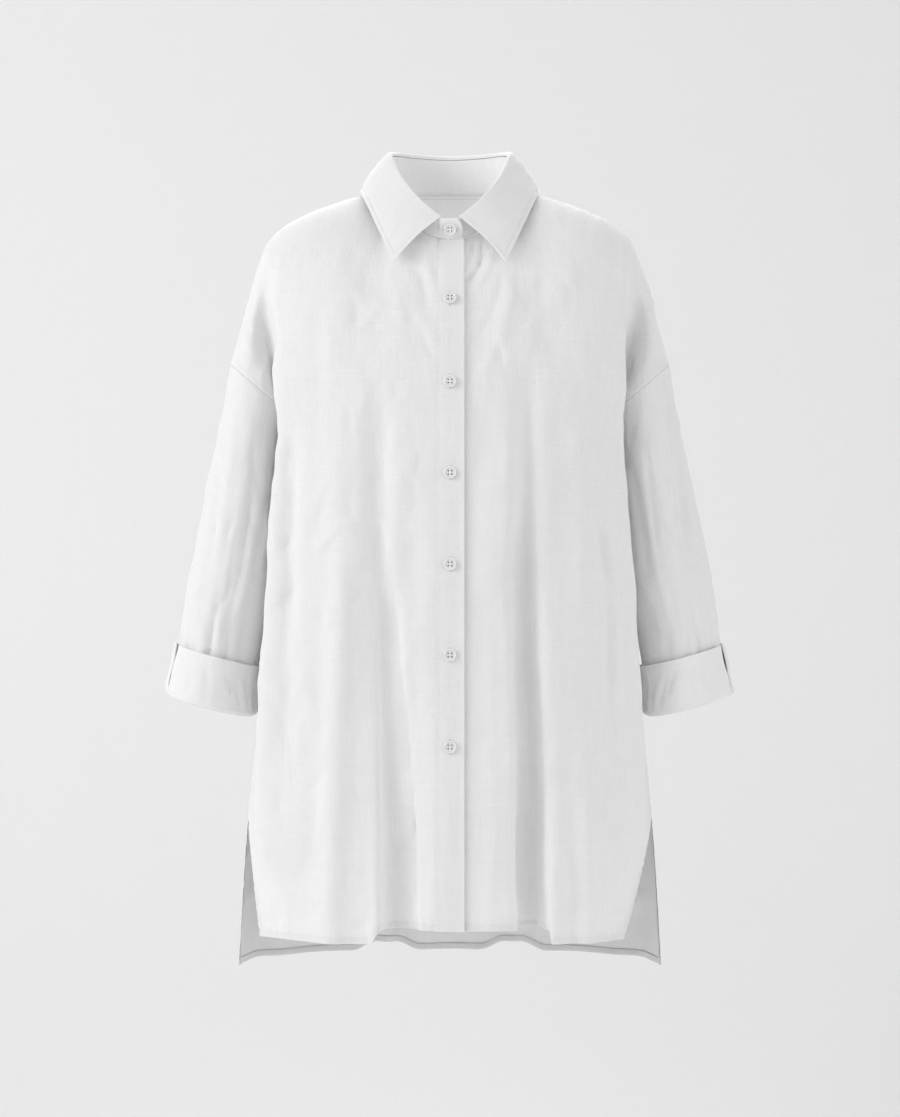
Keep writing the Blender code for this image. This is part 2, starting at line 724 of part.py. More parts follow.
def stand_grid():
    """A band round the neck, on the neckline's own points; its right end laps over the left one."""
    quarter = np.linspace(0, 90, NECK_COLUMNS + 1)
    past = STAND_END - 180
    half = np.concatenate([quarter, 90 + quarter[1:], [180 + past * STAND_END_MIDDLE, STAND_END]])
    degrees = np.concatenate([-half[:0:-1], half])
    foot = neck_ring(degrees)
    top = round_neck(1, degrees)
    ahead = np.abs(degrees) > COLLAR_SECTIONS[-1][0]
    top[ahead, 0] = foot[ahead, 0]
    top[:, 2] -= STAND_END_DROP * ease(np.abs(degrees), *STAND_END_ROUND)
    lap = STAND_LAP * ease(np.abs(degrees), *STAND_LAP_PART) * -np.sign(degrees)
    away = unit(foot * (1, 1, 0))
    up = unit(top - foot)
    rise = STAND_FOOT + STAND_END_RISE * ease(np.abs(degrees), *STAND_END_PART)
    low = foot + up * rise[:, None]
    high = top - up * STAND_TOP
    return np.array([mix(low, high, k / STAND_ROWS) + away * lap[:, None] for k in range(STAND_ROWS + 1)])


def make_stand(material, collection):
    points = stand_grid()
    normals = outward(points, grid_normals(points), 0.0)
    cloth_solid("collar_stand", points, normals, BAND, material, collection)


# Cuffs

def make_cuff(side, name, material, collection):
    """A band turned up round the sleeve's end, open in a vent at the outer side."""
    rows = []
    count = 2 * ARM_ROWS
    for k, (drop, reach, half, front, back) in enumerate(CUFF_SECTIONS):
        down = min(k / CUFF_OUTER_ROWS, 1.0)
        gap = mix(VENT_TOP, VENT_FOOT, down) / half / 2
        vent = math.radians(VENT_ANGLE)
        angles = np.linspace(vent + gap, vent + 2 * math.pi - gap, count + 1)
        rows.append(tilted_ring(side, angles, drop, reach, half, front, back, CUFF_TILT))
    points = np.array(rows)
    normals = grid_normals(points)
    away = points - points.mean(axis=1, keepdims=True)
    if np.sum(normals[:CUFF_OUTER_ROWS] * away[:CUFF_OUTER_ROWS]) < 0:
        normals = -normals
    cloth_solid(name, points, normals, CUFF_CLOTH, material, collection)


# Buttons

def make_buttons(panel, material, collection):
    """Seven buttons down the centre line; the first one is on the stand, the others on the placket."""
    for number, drop in enumerate(BUTTON_DROPS, start=1):
        if number == 1:
            line, under = centre_line(stand_grid(), -1), BAND / 2
        else:
            line, under = centre_line(panel, -1), LAYER_STEP + CLOTH / 2
        place, out = button_seat(line, drop, under + BUTTON_LIFT + BUTTON_THICKNESS / 2)
        bpy.ops.mesh.primitive_cylinder_add(vertices=BUTTON_SIDES, radius=BUTTON_RADIUS,
                                            depth=BUTTON_THICKNESS)
        button = bpy.context.object
        button.name = f"button_{number}"
        button.data.name = button.name
        button.rotation_euler = (math.pi / 2 - math.asin(out[2]), 0, 0)
        button.location = place
        bevel = button.modifiers.new("rim", "BEVEL")
        bevel.width = BUTTON_BEVEL
        bevel.segments = 1
        button.data.materials.append(material)
        for old in button.users_collection:
            old.objects.unlink(button)
        collection.objects.link(button)


def centre_line(points, side):
    """Height and y down the centre line of a grid whose columns start on one side."""
    line = []
    for row in points:
        near = row[:, 1] < 0
        row = row[near] if side < 0 else row[near][::-1]
        cross = np.argmin(np.abs(row[:, 0]))
        line.append((row[cross, 2], row[cross, 1]))
    line.sort()
    return np.array(line)


def button_seat(line, drop, lift):
    heights, depths = line[:, 0], line[:, 1]
    y, y_up, y_down = (np.interp(-drop + step, heights, depths) for step in (0, BUTTON_SPAN, -BUTTON_SPAN))
    out = unit(np.array([0.0, -1.0, (y_up - y_down) / (2 * BUTTON_SPAN)]))
    return np.array([0.0, y, -drop]) + out * lift, out


def main():
    remove_everything()
    collection = bpy.data.collections.new("linen_blouse")
    bpy.context.scene.collection.children.link(collection)
    linen = plain_material("linen", *LINEN)
    shell = plain_material("shell_button", *SHELL)
    panel = make_body(linen, collection)
    make_placket(linen, collection)
    make_stand(linen, collection)
    make_collar(linen, collection)
    make_cuff(-1, "cuff_right", linen, collection)
    make_cuff(1, "cuff_left", linen, collection)
    make_buttons(panel, shell, collection)


main()
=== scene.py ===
"""A long linen shirt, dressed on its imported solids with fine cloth, stitching and buttons.

Metres, +Z up, front towards -Y. The origin is on the base of the neck, where the shirt hangs.
"""

import math

import bpy
import numpy as np
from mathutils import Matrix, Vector


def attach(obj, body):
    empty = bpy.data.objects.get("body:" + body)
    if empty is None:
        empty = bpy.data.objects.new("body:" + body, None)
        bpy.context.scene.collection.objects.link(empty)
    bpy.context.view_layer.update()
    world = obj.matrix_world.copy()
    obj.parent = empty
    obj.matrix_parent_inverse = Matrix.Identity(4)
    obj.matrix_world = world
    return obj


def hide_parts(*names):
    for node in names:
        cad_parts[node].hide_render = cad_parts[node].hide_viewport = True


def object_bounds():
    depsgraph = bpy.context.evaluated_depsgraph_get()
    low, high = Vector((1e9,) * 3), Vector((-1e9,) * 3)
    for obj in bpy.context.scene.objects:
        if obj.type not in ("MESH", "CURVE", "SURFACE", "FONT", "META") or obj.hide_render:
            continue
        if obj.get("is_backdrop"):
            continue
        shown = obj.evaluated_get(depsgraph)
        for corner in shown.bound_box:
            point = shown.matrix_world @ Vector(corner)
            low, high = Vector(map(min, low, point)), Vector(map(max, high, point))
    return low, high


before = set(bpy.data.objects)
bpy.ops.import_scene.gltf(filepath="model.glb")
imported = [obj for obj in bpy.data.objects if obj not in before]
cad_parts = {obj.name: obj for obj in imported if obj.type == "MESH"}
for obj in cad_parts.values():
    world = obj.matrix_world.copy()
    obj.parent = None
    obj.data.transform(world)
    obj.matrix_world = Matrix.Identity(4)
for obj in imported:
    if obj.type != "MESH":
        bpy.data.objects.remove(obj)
CAD_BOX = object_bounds()


def metres(rows, plain=()):
    """A table written in millimetres, in metres; its plain columns stay as they are."""
    return tuple(tuple(value if column in plain else value / 1000 for column, value in enumerate(row))
                 for row in rows)


# Cloth: one layer, two layers with a hem or an interlining, the turned-up cuff
LAYER = 0.0006
BAND = 0.0013
CUFF = 0.0016
PLACKET_WALL = LAYER * 1.3
PLACKET_RIM = 0.0002
RIM = 0.0004
RIM_ANGLE = math.radians(60)

# Levels on the form, as drops below the origin
UNDERARM = 0.226
SLIT_TOP = 0.642
FRONT_HEM = 0.762
BACK_HEM = 0.799

# Places across a half panel and down it
AT_NECK_SIDE = 0.24
AT_EDGE = 0.70
PAST_CENTRE = 0.1
NEAR_CENTRE = 0.3
AT_UNDERARM = 0.30
AT_SLIT = 0.82
CORNERS_SOFT_FROM = 0.10

# Neckline
NECK_HALF_WIDTH = 0.068
NECK_FRONT = 0.062
NECK_BACK = 0.055
NECK_FRONT_DROP = 0.050
NECK_SIDE_RISE = 0.006
NECK_BACK_RISE = 0.0105
NECK_FRONT_CURVE = 2.2

# Overlap at the centre front
OVERLAP = 0.0145
PLACKET_LEFT = -0.0125
LAYER_STEP = 0.0021
LAYER_FADE = (0.021, 0.046)
PLACKET_GAP = 0.0001
PLACKET_DIP = 0.001
PROUD_UP_TO = 0.004
EDGE_FOLD = 0.0004
EDGE_FOLD_FROM = (0.009, 0.013)

# Armhole
ARMHOLE_X = 0.197
ARMHOLE_DROP = 0.200
ARMHOLE_HALF_WIDTH = 0.031
ARMHOLE_HALF_RISE = 0.026
ARMHOLE_FRONT = 0.047
ARMHOLE_BACK = 0.052

# Fold between chest and arm, and the rounding of the form
GROOVE_FRONT = 0.034
GROOVE_BACK = 0.030
GROOVE_PLACE = 0.7
GROOVE_START = (0.10, 0.50)
GROOVE_END = (0.72, 1.0)
ROUND_PASSES = 22
CHEST_CURVE = 2.6
SHOULDER_FROM = (0.10, 0.62)
ARM_SWELL = 1.5

# Shoulder seam: place across, reach from the centre, height
SHOULDER_SEAM = metres((
    (0.24, 68, 6),
    (0.36, 99, 0),
    (0.48, 130, -10),
    (0.6, 162, -25),
    (0.7, 184, -42),
    (0.78, 197, -66),
    (0.86, 207, -98),
    (0.93, 216, -132),
    (1, 228, -174),
), plain=(0,))

# Sections of the body: drop, half width, depth at that edge, depth at the centre
FRONT_SECTIONS = metres((
    (226, 178, 66, 114),
    (300, 182, 69, 118),
    (400, 189, 72, 121),
    (505, 195, 72, 121),
    (575, 199, 69, 120),
    (642, 199, 66, 119),
    (762, 172, 80, 117),
))
BACK_SECTIONS = metres((
    (226, 173, 76, 118),
    (300, 177, 80, 121),
    (400, 184, 84, 123),
    (505, 192, 84, 124),
    (575, 198, 81, 125),
    (642, 202, 78, 126),
    (799, 206, 74, 127),
))

# Side seam: drop, reach
SIDE_SEAM = metres((
    (226, 166),
    (300, 169),
    (400, 177),
    (505, 191),
    (575, 203),
    (642, 209.7),
))

# Slit edges at the hem: reach, depth forward
FRONT_SLIT = {1: (0.177, 0.066), -1: (0.195, 0.044)}
BACK_SLIT = (0.2208, -0.010)
FRONT_SLIT_CURVE = (1.35, 1.2)
BACK_SLIT_CURVE = 0.8
HEM_CHEST = 0.86
HEM_CHEST_DEPTH = 0.022

# Folds: x and drop at the upper end, x and drop at the lower end, half width,
# depth out at the upper and at the lower end
FRONT_FOLDS = metres((
    (-107, 240, -122, 762, 20, 4, 8),
    (-79, 230, -57, 762, 12, -4, -18),
    (-35, 300, -30, 762, 20, 1, 4),
    (34, 300, 34, 762, 16, 1, 3),
    (72, 230, 76, 762, 13, -4, -17),
    (98, 420, 104, 762, 14, 2, 7),
    (138, 560, 141, 762, 20, 2, 6),
    (150, 330, 162, 640, 12, -5, -4),
    (-160, 260, -168, 600, 12, -5, -4),
))
BACK_FOLDS = metres((
    (-120, 200, -130, 799, 20, 3, 7),
    (-70, 140, -68, 799, 18, -4, -14),
    (-6, 120, 0, 799, 24, 3, 8),
    (62, 160, 68, 799, 18, -4, -14),
    (122, 220, 134, 799, 20, 3, 8),
    (-170, 500, -178, 799, 14, -1, -6),
    (168, 480, 176, 799, 14, -1, -6),
))
FOLD_START = (-0.25, 0.20)
FOLD_END = (0.8, 1.25)
FOLD_INSIDE = (0.80, 0.97)
HEM_FOLDS_FROM = 0.752

# Lift of the hem between two folds: from x, to x, rise, width of the step
FRONT_LIFT = (-0.076, 0.099, 0.014, 0.0035)
BACK_LIFTS = ((-0.092, -0.046, 0.011, 0.014), (0.046, 0.090, 0.011, 0.014))

# Sleeve: drop and reach of the middle, half width, depth to the front and back, tilt
SLEEVE_SECTIONS = metres((
    (200, 197, 31, 47, 52, 40),
    (226, 202.4, 30.4, 48, 52, 34),
    (255, 206.8, 32.7, 50, 53, 27),
    (290, 211.5, 36, 52, 54, 21),
    (340, 219, 38.5, 53, 56, 17),
    (400, 229, 40, 53, 56, 16),
    (450, 239, 37.5, 49, 52, 16),
    (490, 245, 36.5, 47, 50, 16),
    (519.5, 249, 39, 48, 51, 16),
), plain=(5,))

# Fullness of the sleeves and cuffs on the side of the body: size, degrees round, start and end drops
INNER_FULLNESS = 0.0060
INNER_SPREAD = 55.0
INNER_FROM = (0.290, 0.440)

# The inner corner of the cuffs, turned up: rise, degrees round, middle
CORNER_RISE = 0.0085
CORNER_SPREAD = 24.0
CORNER_AT = 186.0

# Cuff: drop and reach of the middle, half width, depth to the front and back
CUFF_SECTIONS = metres((
    (475, 243, 41.8, 53, 56),
    (492, 245.2, 43.2, 54, 57),
    (509, 247.4, 44.6, 55, 58),
    (522, 249.2, 45.6, 55.5, 58.5),
    (526.5, 250, 44.8, 54.5, 57.5),
    (527.5, 250, 42, 51.5, 54.5),
    (520.6, 249.1, 39.2, 48.2, 51.2),
))
CUFF_TILT = 16.0
CUFF_ROWS = 22
CUFF_TURN_ROWS = 12
VENT_ANGLE = 27.0
VENT_TOP = 0.0060
VENT_FOOT = 0.0010

# Collar: degrees from the middle of the back, roll line and outer edge on the left side
COLLAR_SECTIONS = metres((
    (0, 0, 59, 47, 0, 87, 3),
    (47, 49, 40, 48, 76, 64, 4),
    (88, 60.5, 5, 43, 93, 8, 6),
    (119, 52, -25, 20, 89, -19, -3),
    (142, 40, -46, 1, 80, -42, -23),
    (156, 26, -58.5, -14.5, 69, -66, -48),
    (172, 9.2, -66.5, -29, 56.5, -86, -75),
), plain=(0,))
ROLL_START = 0.0004
ROLL_RISE = 0.0034
ROLL_FRONT = (125.0, 172.0)
ROLL_OUT = 0.0040
ROLL_STEPS = 6.5
ROLL_NARROWING = 0.75
ROLL_OVER = (0.85, 1.06)
COLLAR_BULGE = 0.004
COLLAR_DIP = (0.00045, 0.0009)
COLLAR_RIM_RISE = 0.00025
COLLAR_CORNER = 0.006
STAND_FOOT = 0.0002
STAND_OVER_SEAM = 0.0012
STAND_OVER_PART = (150.0, 166.0)
STAND_END = 190.3
STAND_LAP = 0.00110
STAND_LAP_PART = (155.0, 178.0)
STAND_END_DROP = 0.010
STAND_END_ROUND = (183.5, 190.3)
STAND_TOP = 0.0004

# Fine grids
FINE_COLUMNS = 160
ARM_ROWS = 76
BODY_ROWS = 128
SLIT_ROWS = 42
PANEL_COLUMNS = 92
LAP_COLUMNS = 6
NEAR_SEAM = (0.0035, 0.008)
NEAR_TOP = (0.0012, 0.003)
SLEEVE_COLUMNS = 104
SLEEVE_ROWS = 108
CUFF_COLUMNS = 120
COLLAR_COLUMNS = 300
COLLAR_ROWS = 40
STAND_COLUMNS = 420
STAND_LAP_COLUMNS = 34
STAND_ROWS = 12
PLACKET_COLUMNS = 12

# Creases: x and drop at the upper and at the lower end, bow to the side, half width,
# height out of the cloth, and how sharp the line is from 0 to 1
FRONT_CREASES = metres((
    (-69, 200, -68, 400, 0, 11, -5.1, 0), (-64, 380, -50, 600, 1, 10.5, -7.8, 0),
    (-49, 560, -45, 900, 0, 12.3, -10.2, 0), (-46, 300, -37, 600, 0, 16, -5, 0),
    (-34.5, 500, -31, 900, 0, 18, -9.8, 0), (94, 450, 98, 900, 0, 15, -5.6, 0),
    (-78, 380, -74.5, 620, 1, 5.5, 4.3, 0.4), (-74.5, 560, -73.5, 900, 0, 5, 7.2, 0.5),
    (-105, 330, -114, 560, 0, 11, 4.1, 0.1), (-114, 500, -125, 900, 0, 12, 4.3, 0.1),
    (80, 180, 75, 380, 0, 10, -5.8, 0), (72.5, 330, 77, 560, 0, 11.8, -12.2, 0),
    (75.5, 500, 77.5, 900, 0, 12.6, -14.6, 0), (60, 220, 56, 420, 0, 9, 4.1, 0.1),
    (58, 400, 64, 640, 0, 8, 6.1, 0.1), (64, 560, 66, 900, 0, 8, 8.4, 0.2),
    (149.7, 336, 160.7, 412, 1, 6, -4.3, 0.3), (160.7, 400, 160.7, 530, 1, 6, -4.3, 0.3),
    (135.7, 580, 144.7, 900, 0, 8, 4.1, 0.2), (118, 560, 122, 860, 2, 8, -2.9, 0.1),
    (-158.7, 250, -165.7, 480, 1, 7, -2.8, 0.2), (-165.7, 380, -152.7, 435, 2, 2.6, -1.6, 0.6),
    (-161, 398, -147, 445, 2, 3, 1, 0.4), (177.7, 40, 176.7, 150, 0, 4, 3.5, 0.6),
    (176.7, 125, 177.7, 230, 0, 3.6, 3.5, 0.6), (185, 80, 183, 200, 0, 6, -6.8, 0.1),
    (-191.8, 95, -179.5, 175, 1, 5, -3.6, 0.3), (-178.8, 150, -177.5, 230, 0, 3.4, 2, 0.5),
    (204, 75, 217.2, 165, -2, 4, 3.5, 0.5), (212, 80, 224, 165, -2, 5.5, -4.2, 0.2),
    (-204, 90, -214, 165, 2, 6, -1.6, 0.2), (-23, 52, -13, 98, 2, 2.6, -2.2, 0.4),
    (-29, 60, -18, 104, 2, 3.6, 2.2, 0.3), (-36, 75, -23, 125, 3, 5, -2.4, 0.3),
    (-33, 120, -14, 160, -3, 5.5, 1.7, 0.2), (-28, 135, -15, 180, -2, 4.5, -1.5, 0.3),
    (-38, 236, -36, 270, 1, 3, -1, 0.5), (37, 60, 16, 95, 1, 3, -3.4, 0.4),
    (43, 66, 24, 104, 2, 4, 2.9, 0.3), (25, 48, 18.5, 76, 0, 2, -3.1, 0.5),
    (27.5, 48, 23.5, 80, 0, 1.8, 2.6, 0.5), (31, 50, 27, 84, 1, 2, -2.2, 0.5),
    (55, 80, 24, 160, 5, 6, -2.9, 0.2), (64, 92, 33, 190, 5, 7, 2.9, 0.2),
    (48, 150, 30, 290, 3, 8, -1.5, 0.1), (-82, 60, -105, 190, 6, 10, -1.4, 0.1),
    (-115, 45, -130, 200, 6, 11, 1.4, 0.1), (-100, 190, -108, 400, 3, 9, -1.6, 0.1),
    (-135, 130, -142, 330, 4, 9, -1.4, 0.1), (90, 62, 112, 190, -6, 10, -1.4, 0.1),
    (122, 50, 138, 210, -4, 11, 1.4, 0.1), (108, 200, 116, 420, 3, 11, -1.8, 0.1),
    (145, 180, 150, 320, 2, 8, -1.2, 0.2), (18, 563, 76, 552, 3, 3.2, -1, 0.4),
    (18, 570, 52, 576, -2, 3, 0.7, 0.3), (-80, 735, -118, 750, 5, 5.5, -1.2, 0.2),
    (-135, 610, -150, 700, 4, 6, -1.4, 0.3), (-172, 530, -156, 615, 3, 5, -1.2, 0.3),
    (-128, 400, -142, 660, 4, 11, -1.8, 0.1), (-145, 470, -134, 560, -3, 5, 1.2, 0.3),
    (125, 600, 162, 660, 4, 5, -1.5, 0.3), (152, 560, 166, 640, 3, 5, 1.3, 0.3),
    (100, 690, 130, 730, -4, 5, 1.2, 0.3), (-30, 330, -34, 560, -2, 7, -1.1, 0.1),
    (-25, 600, -28, 860, 1, 6, -1, 0.1), (33, 400, 30, 860, 1, 8, -1.6, 0.1),
), plain=(7,))
BACK_CREASES = metres((
    (-78, 440, -80, 900, 2, 6, 2.2, 0.4), (74, 500, 79, 900, 2, 6, 2.2, 0.4),
    (-40, 180, -30, 560, 4, 11, -1.6, 0.1), (30, 240, 34, 640, -3, 10, -1.5, 0.1),
    (-100, 60, -124, 230, 6, 10, -1.5, 0.1), (104, 50, 126, 240, -6, 11, -1.5, 0.1),
    (-30, 30, -50, 150, 3, 8, 1.2, 0.1), (25, 30, 45, 140, -3, 8, 1.2, 0.1),
    (-155, 300, -140, 360, 3, 4, -1.2, 0.5), (160, 360, 146, 430, -3, 4.2, -1.3, 0.5),
    (112, 560, 128, 700, 4, 6, -1.4, 0.3), (-112, 590, -130, 730, -4, 6, -1.3, 0.3),
    (-10, 430, 14, 470, 2, 3.4, -0.8, 0.5), (10, 620, -14, 660, 3, 3.6, 0.9, 0.4),
    (138, 660, 156, 720, 3, 4.5, 1.2, 0.4), (-148, 700, -164, 760, 3, 4.5, 1.2, 0.4),
    (-130, 240, -142, 520, 4, 11, -1.8, 0.1), (130, 260, 145, 560, 4, 11, -1.8, 0.1),
), plain=(7,))

# Creases of the sleeves: degrees round from the outer side by the front and drop, at the upper and
# at the lower end, half width, height out of the cloth, sharpness
ROUND_COLUMNS = (0, 2, 6)
SLEEVE_RADIUS = 0.046
CUFF_RADIUS = 0.050
SLEEVE_CREASES = {
    -1: metres((
        (84, 395, 77, 560, 4, -3.6, 0.5), (70, 420, 64, 560, 6, 1.4, 0.2),
        (110, 430, 101, 560, 4.4, -3.2, 0.4), (94, 430, 90, 560, 5, 2, 0.2),
        (98, 395, 86, 430, 3, -1.4, 0.4), (128, 440, 122, 560, 4, -2, 0.4),
        (60, 230, 76, 420, 7, 1.5, 0.2), (112, 230, 104, 380, 7, -1.4, 0.2),
        (92, 255, 118, 300, 4, -1.1, 0.4), (96, 285, 124, 330, 4.5, 0.9, 0.3),
        (46, 440, 40, 560, 5, -1.8, 0.3), (150, 250, 138, 330, 5, -1.8, 0.3),
        (236, 300, 250, 480, 7, -1.8, 0.2), (292, 390, 286, 560, 5, -2.6, 0.4),
        (262, 420, 258, 560, 5, 1.8, 0.3), (318, 260, 304, 420, 8, -1.4, 0.2),
        (228, 430, 232, 560, 4.5, -2.2, 0.4), (100, 235, 109, 400, 4.2, -2.2, 0.3),
        (118, 290, 112, 450, 4.6, 2.1, 0.3), (135, 240, 126, 390, 4.4, -2, 0.4),
        (88, 320, 83, 440, 4, 1.6, 0.3), (108, 370, 98, 470, 3.8, -1.8, 0.4),
        (50, 280, 58, 430, 6, -1.4, 0.2),
    ), plain=ROUND_COLUMNS),
    1: metres((
        (41, 190, 54, 250, 3.6, 3.3, 0.6), (47, 225, 68, 300, 4, 3.9, 0.6),
        (64, 275, 80, 390, 5, 3.6, 0.5), (28, 190, 46, 290, 7.5, -4.5, 0.2),
        (44, 260, 64, 400, 9, -4.2, 0.2), (77, 400, 61, 520, 3.8, -3.4, 0.6),
        (78, 405, 95, 560, 3.8, -3, 0.6), (78, 430, 79, 560, 6, 1.8, 0.3),
        (84, 300, 80, 430, 5, 1.4, 0.3), (116, 430, 108, 560, 4.8, -2, 0.4),
        (130, 250, 120, 380, 7, -1.4, 0.2), (42, 450, 36, 560, 5, -1.8, 0.4),
        (144, 240, 128, 300, 5, -1.8, 0.3), (240, 290, 252, 470, 7, -1.8, 0.2),
        (286, 400, 282, 560, 5, -2.6, 0.4), (258, 430, 256, 560, 5, 1.8, 0.3),
        (316, 250, 300, 410, 8, -1.4, 0.2), (226, 440, 230, 560, 4.5, -2.2, 0.4),
        (98, 240, 106, 400, 4.4, -2, 0.3), (112, 300, 104, 440, 4.2, 1.8, 0.3),
        (128, 260, 122, 400, 4.4, -1.8, 0.4), (96, 400, 90, 480, 3.6, -1.6, 0.4),
    ), plain=ROUND_COLUMNS),
}

# Creases of the cuffs, in the same places
CUFF_CREASES = metres((
    (138, 486, 146, 524, 2.4, -3.1, 0.5), (112, 492, 120, 510, 2, -2.2, 0.5),
    (84, 486, 88, 524, 4, -1.4, 0.2), (118, 488, 132, 520, 2.2, -2.2, 0.4),
    (128, 492, 140, 524, 2.2, 2, 0.4), (106, 484, 120, 512, 2.6, -1.5, 0.3),
    (150, 490, 158, 524, 3, -3.1, 0.3), (68, 500, 60, 524, 3, -1.4, 0.3),
    (212, 486, 202, 522, 2.6, -2.7, 0.4), (240, 484, 232, 520, 2.8, 2, 0.3),
    (290, 490, 298, 520, 3, -1.8, 0.3),
), plain=ROUND_COLUMNS)

# Where a crease comes up and dies out along its length, and the rounding of a crisp one
CREASE_START = (-0.10, 0.30)
CREASE_END = (0.70, 1.10)
CRISP_ROUNDING = 0.02

# Distance from the centre line at which short creases and unevenness of a front begin
SHORT_FROM = (0.014, 0.040)
RUMPLE_FROM = (0.010, 0.045)

# Unevenness of the cloth: size of the patches and height of each, and the lattice they come from
LATTICE = 64
LATTICE_START = (29.3, 17.7)
RUMPLES = ((0.060, 0.0014), (0.026, 0.00090), (0.012, 0.00045))

# Short faint creases spread over a piece: how many
FRONT_SHORT = 70
BACK_SHORT = 130
SLEEVE_SHORT = 70

# Puckers along a seam: pitch, height and reach from the seam
PUCKER_PITCH = 0.0105
PUCKER_HEIGHT = 0.00042
PUCKER_REACH = 0.011

# How the puckers drift along the seam and change in strength: size of the patches; a finer ripple
PUCKER_DRIFT = (0.030, 2.2)
PUCKER_PATCH = 0.045
PUCKER_RIPPLE = 1430.0

# Seeds of the random draws
SEEDS = {
    "front": 11, "both fronts": 71, "front creases": 131, "front edges": 41, "placket left": 21,
    "placket right": 25, "back": 31, "back creases": 141, "back edges": 51, "sleeve": 61,
    "sleeve creases": 151, "sleeve top": 91, "cuff": 81, "cuff top": 87, "collar": 105,
    "collar edge": 101, "stand": 111,
}

# Sewing
STITCH = 0.0021
STITCH_GAP = 0.0006
THREAD = 0.00024
HEM_STITCH = 0.0062
SLIT_STITCH = 0.0050
COLLAR_STITCH = 0.0050
ARMHOLE_STITCH = 0.0058
NECK_STITCHES = (0.0016, 0.0052)
STAND_STITCH = 0.0016
PLACKET_STITCH = 0.0012
HEM_DEPTH = 0.0070
HEM_TAPE = LAYER + 0.0001
SLIT_DEPTH = 0.0060
SLIT_TAPE = LAYER * 2 + 0.0002
SEAM_DIP = 0.0007
SEAM_REACH = 0.0011
SEAM_FADE = 0.012
STITCH_DIP = 0.00035
UNDERARM_NEAR = 0.004
ARMHOLE_DIP_HALF = 0.0014

# Buttons: drop of each, radius, thickness, holes and buttonhole
BUTTON_DROPS = (0.0404, 0.1131, 0.1978, 0.2891, 0.3805, 0.4713, 0.5630)
BUTTON_RADIUS = 0.0063
BUTTON_THICKNESS = 0.0022
BUTTON_LIFT = 0.0008
NECK_BUTTON_LIFT = 0.0005
NECK_BUTTON_LEAN = 0.35
HOLE_RADIUS = 0.00095
HOLE_PLACE = 0.0024
HOLE_CORNER = HOLE_PLACE * math.sqrt(0.5)
BUTTON_DISH = 0.63
BAR = ((-0.95, -0.0010), (-0.55, 0.0001), (0.55, 0.0001), (0.95, -0.0010))
BAR_RADIUS = 0.00013
SHANK = (-0.4, 1.2)
SHANK_RADIUS = 0.0011
BUTTON_SHARP = math.radians(40)
BUTTONHOLE_STITCHES = 23
BUTTONHOLE_LENGTH = 0.0150
BUTTONHOLE_HALF = 0.0010
BUTTONHOLE_SLIT = 0.00025
BUTTONHOLE_LEAN = 0.00005
BUTTONHOLE_BOW = 0.00018
BUTTONHOLE_THREAD = 0.00026
NEAR_SURFACE = 0.0012

# Button, turned: radius and height as shares of its own
BUTTON_PROFILE = (
    (0.0, 0.62), (0.30, 0.62), (0.58, 0.60), (0.64, 0.40), (0.69, 0.36), (0.73, 0.62), (0.77, 0.92),
    (0.84, 1.00), (0.92, 0.98), (0.99, 0.80), (1.00, 0.55), (0.96, 0.28), (0.86, 0.10), (0.70, 0.0),
    (0.0, 0.0),
)

# Finish: pitch of the yarn, and the colour of linen, thread and buttons
THREAD_PITCH = 0.0009
LINEN_LIGHT = (0.860, 0.861, 0.858)
LINEN_DEEP = (0.750, 0.752, 0.750)
THREAD_COLOUR = (0.84, 0.84, 0.835)
# Painted shade: dark thread for the back neck seam, where the seam's shadow line falls
NECK_SEAM_PAINTED_SHADE = (0.30, 0.30, 0.30)
BUTTON_COLOUR = (0.87, 0.87, 0.86)
BUTTON_SHADE = (0.78, 0.785, 0.78)
# Painted shade: dark walls of the button holes, for the shade inside them
PAINTED_SHADE_HOLE_LIGHT = (0.20, 0.20, 0.195)
PAINTED_SHADE_HOLE_DEEP = (0.12, 0.12, 0.115)

# Camera and light
VIEW_HEIGHT = -0.375
VIEW_DISTANCE = 3.0
FRAME_HEIGHT = 1.1617
SENSOR = 36.0
WORLD_STRENGTH = 0.60
BACKDROP_HALF = 4.5
FLOOR_AT = -1.30
WALL_AT = 1.60
WALL_BEND = 0.9
WALL_TOP = 3.2
PAPER_COLOUR = (0.84, 0.84, 0.84, 1.0)

# Lamps: name, place, aim, size, power, spread in degrees
LIGHTS = (
    ("key", (-2.5, -2.2, 0.9), (0.0, 0.0, -0.45), 1.4, 18.0, 180.0),
    ("side key", (-2.9, -1.1, 0.7), (0.0, 0.0, -0.45), 1.2, 32.0, 180.0),
    ("fill", (2.3, -1.6, -0.1), (0.0, 0.0, -0.40), 2.0, 17.0, 180.0),
    ("top", (0.0, -1.1, 2.1), (0.0, 0.0, -0.2), 1.4, 2.0, 180.0),
    ("back", (0.0, 1.15, 1.00), (0.0, 0.0, -0.45), 0.8, 5.0, 80.0),
    ("neck lamp", (0.0, -0.02, -0.13), (0.0, 0.055, 0.0), 0.08, 0.085, 180.0),
)


def table_curve(table, column, at):
    """A smooth curve through one column of a table, over its first column, with no overshoot."""
    knots = np.array([row[0] for row in table])
    values = np.array([row[column] for row in table])
    step = np.diff(knots)
    slope = np.diff(values) / step
    tangent = np.zeros(len(knots))
    tangent[0] = slope[0]
    tangent[-1] = slope[-1]
    before, after = slope[:-1], slope[1:]
    same_way = before * after > 0
    total = np.where(same_way, before + after, 1.0)
    tangent[1:-1] = np.where(same_way, 2 * before * after / total, 0.0)
    at = np.clip(at, knots[0], knots[-1])
    i = np.clip(np.searchsorted(knots, at, side="right") - 1, 0, len(knots) - 2)
    h = step[i]
    t = (at - knots[i]) / h
    start = values[i] * (1 + 2 * t) * (1 - t) ** 2 + tangent[i] * h * t * (1 - t) ** 2
    return start + values[i + 1] * t * t * (3 - 2 * t) + tangent[i + 1] * h * t * t * (t - 1)


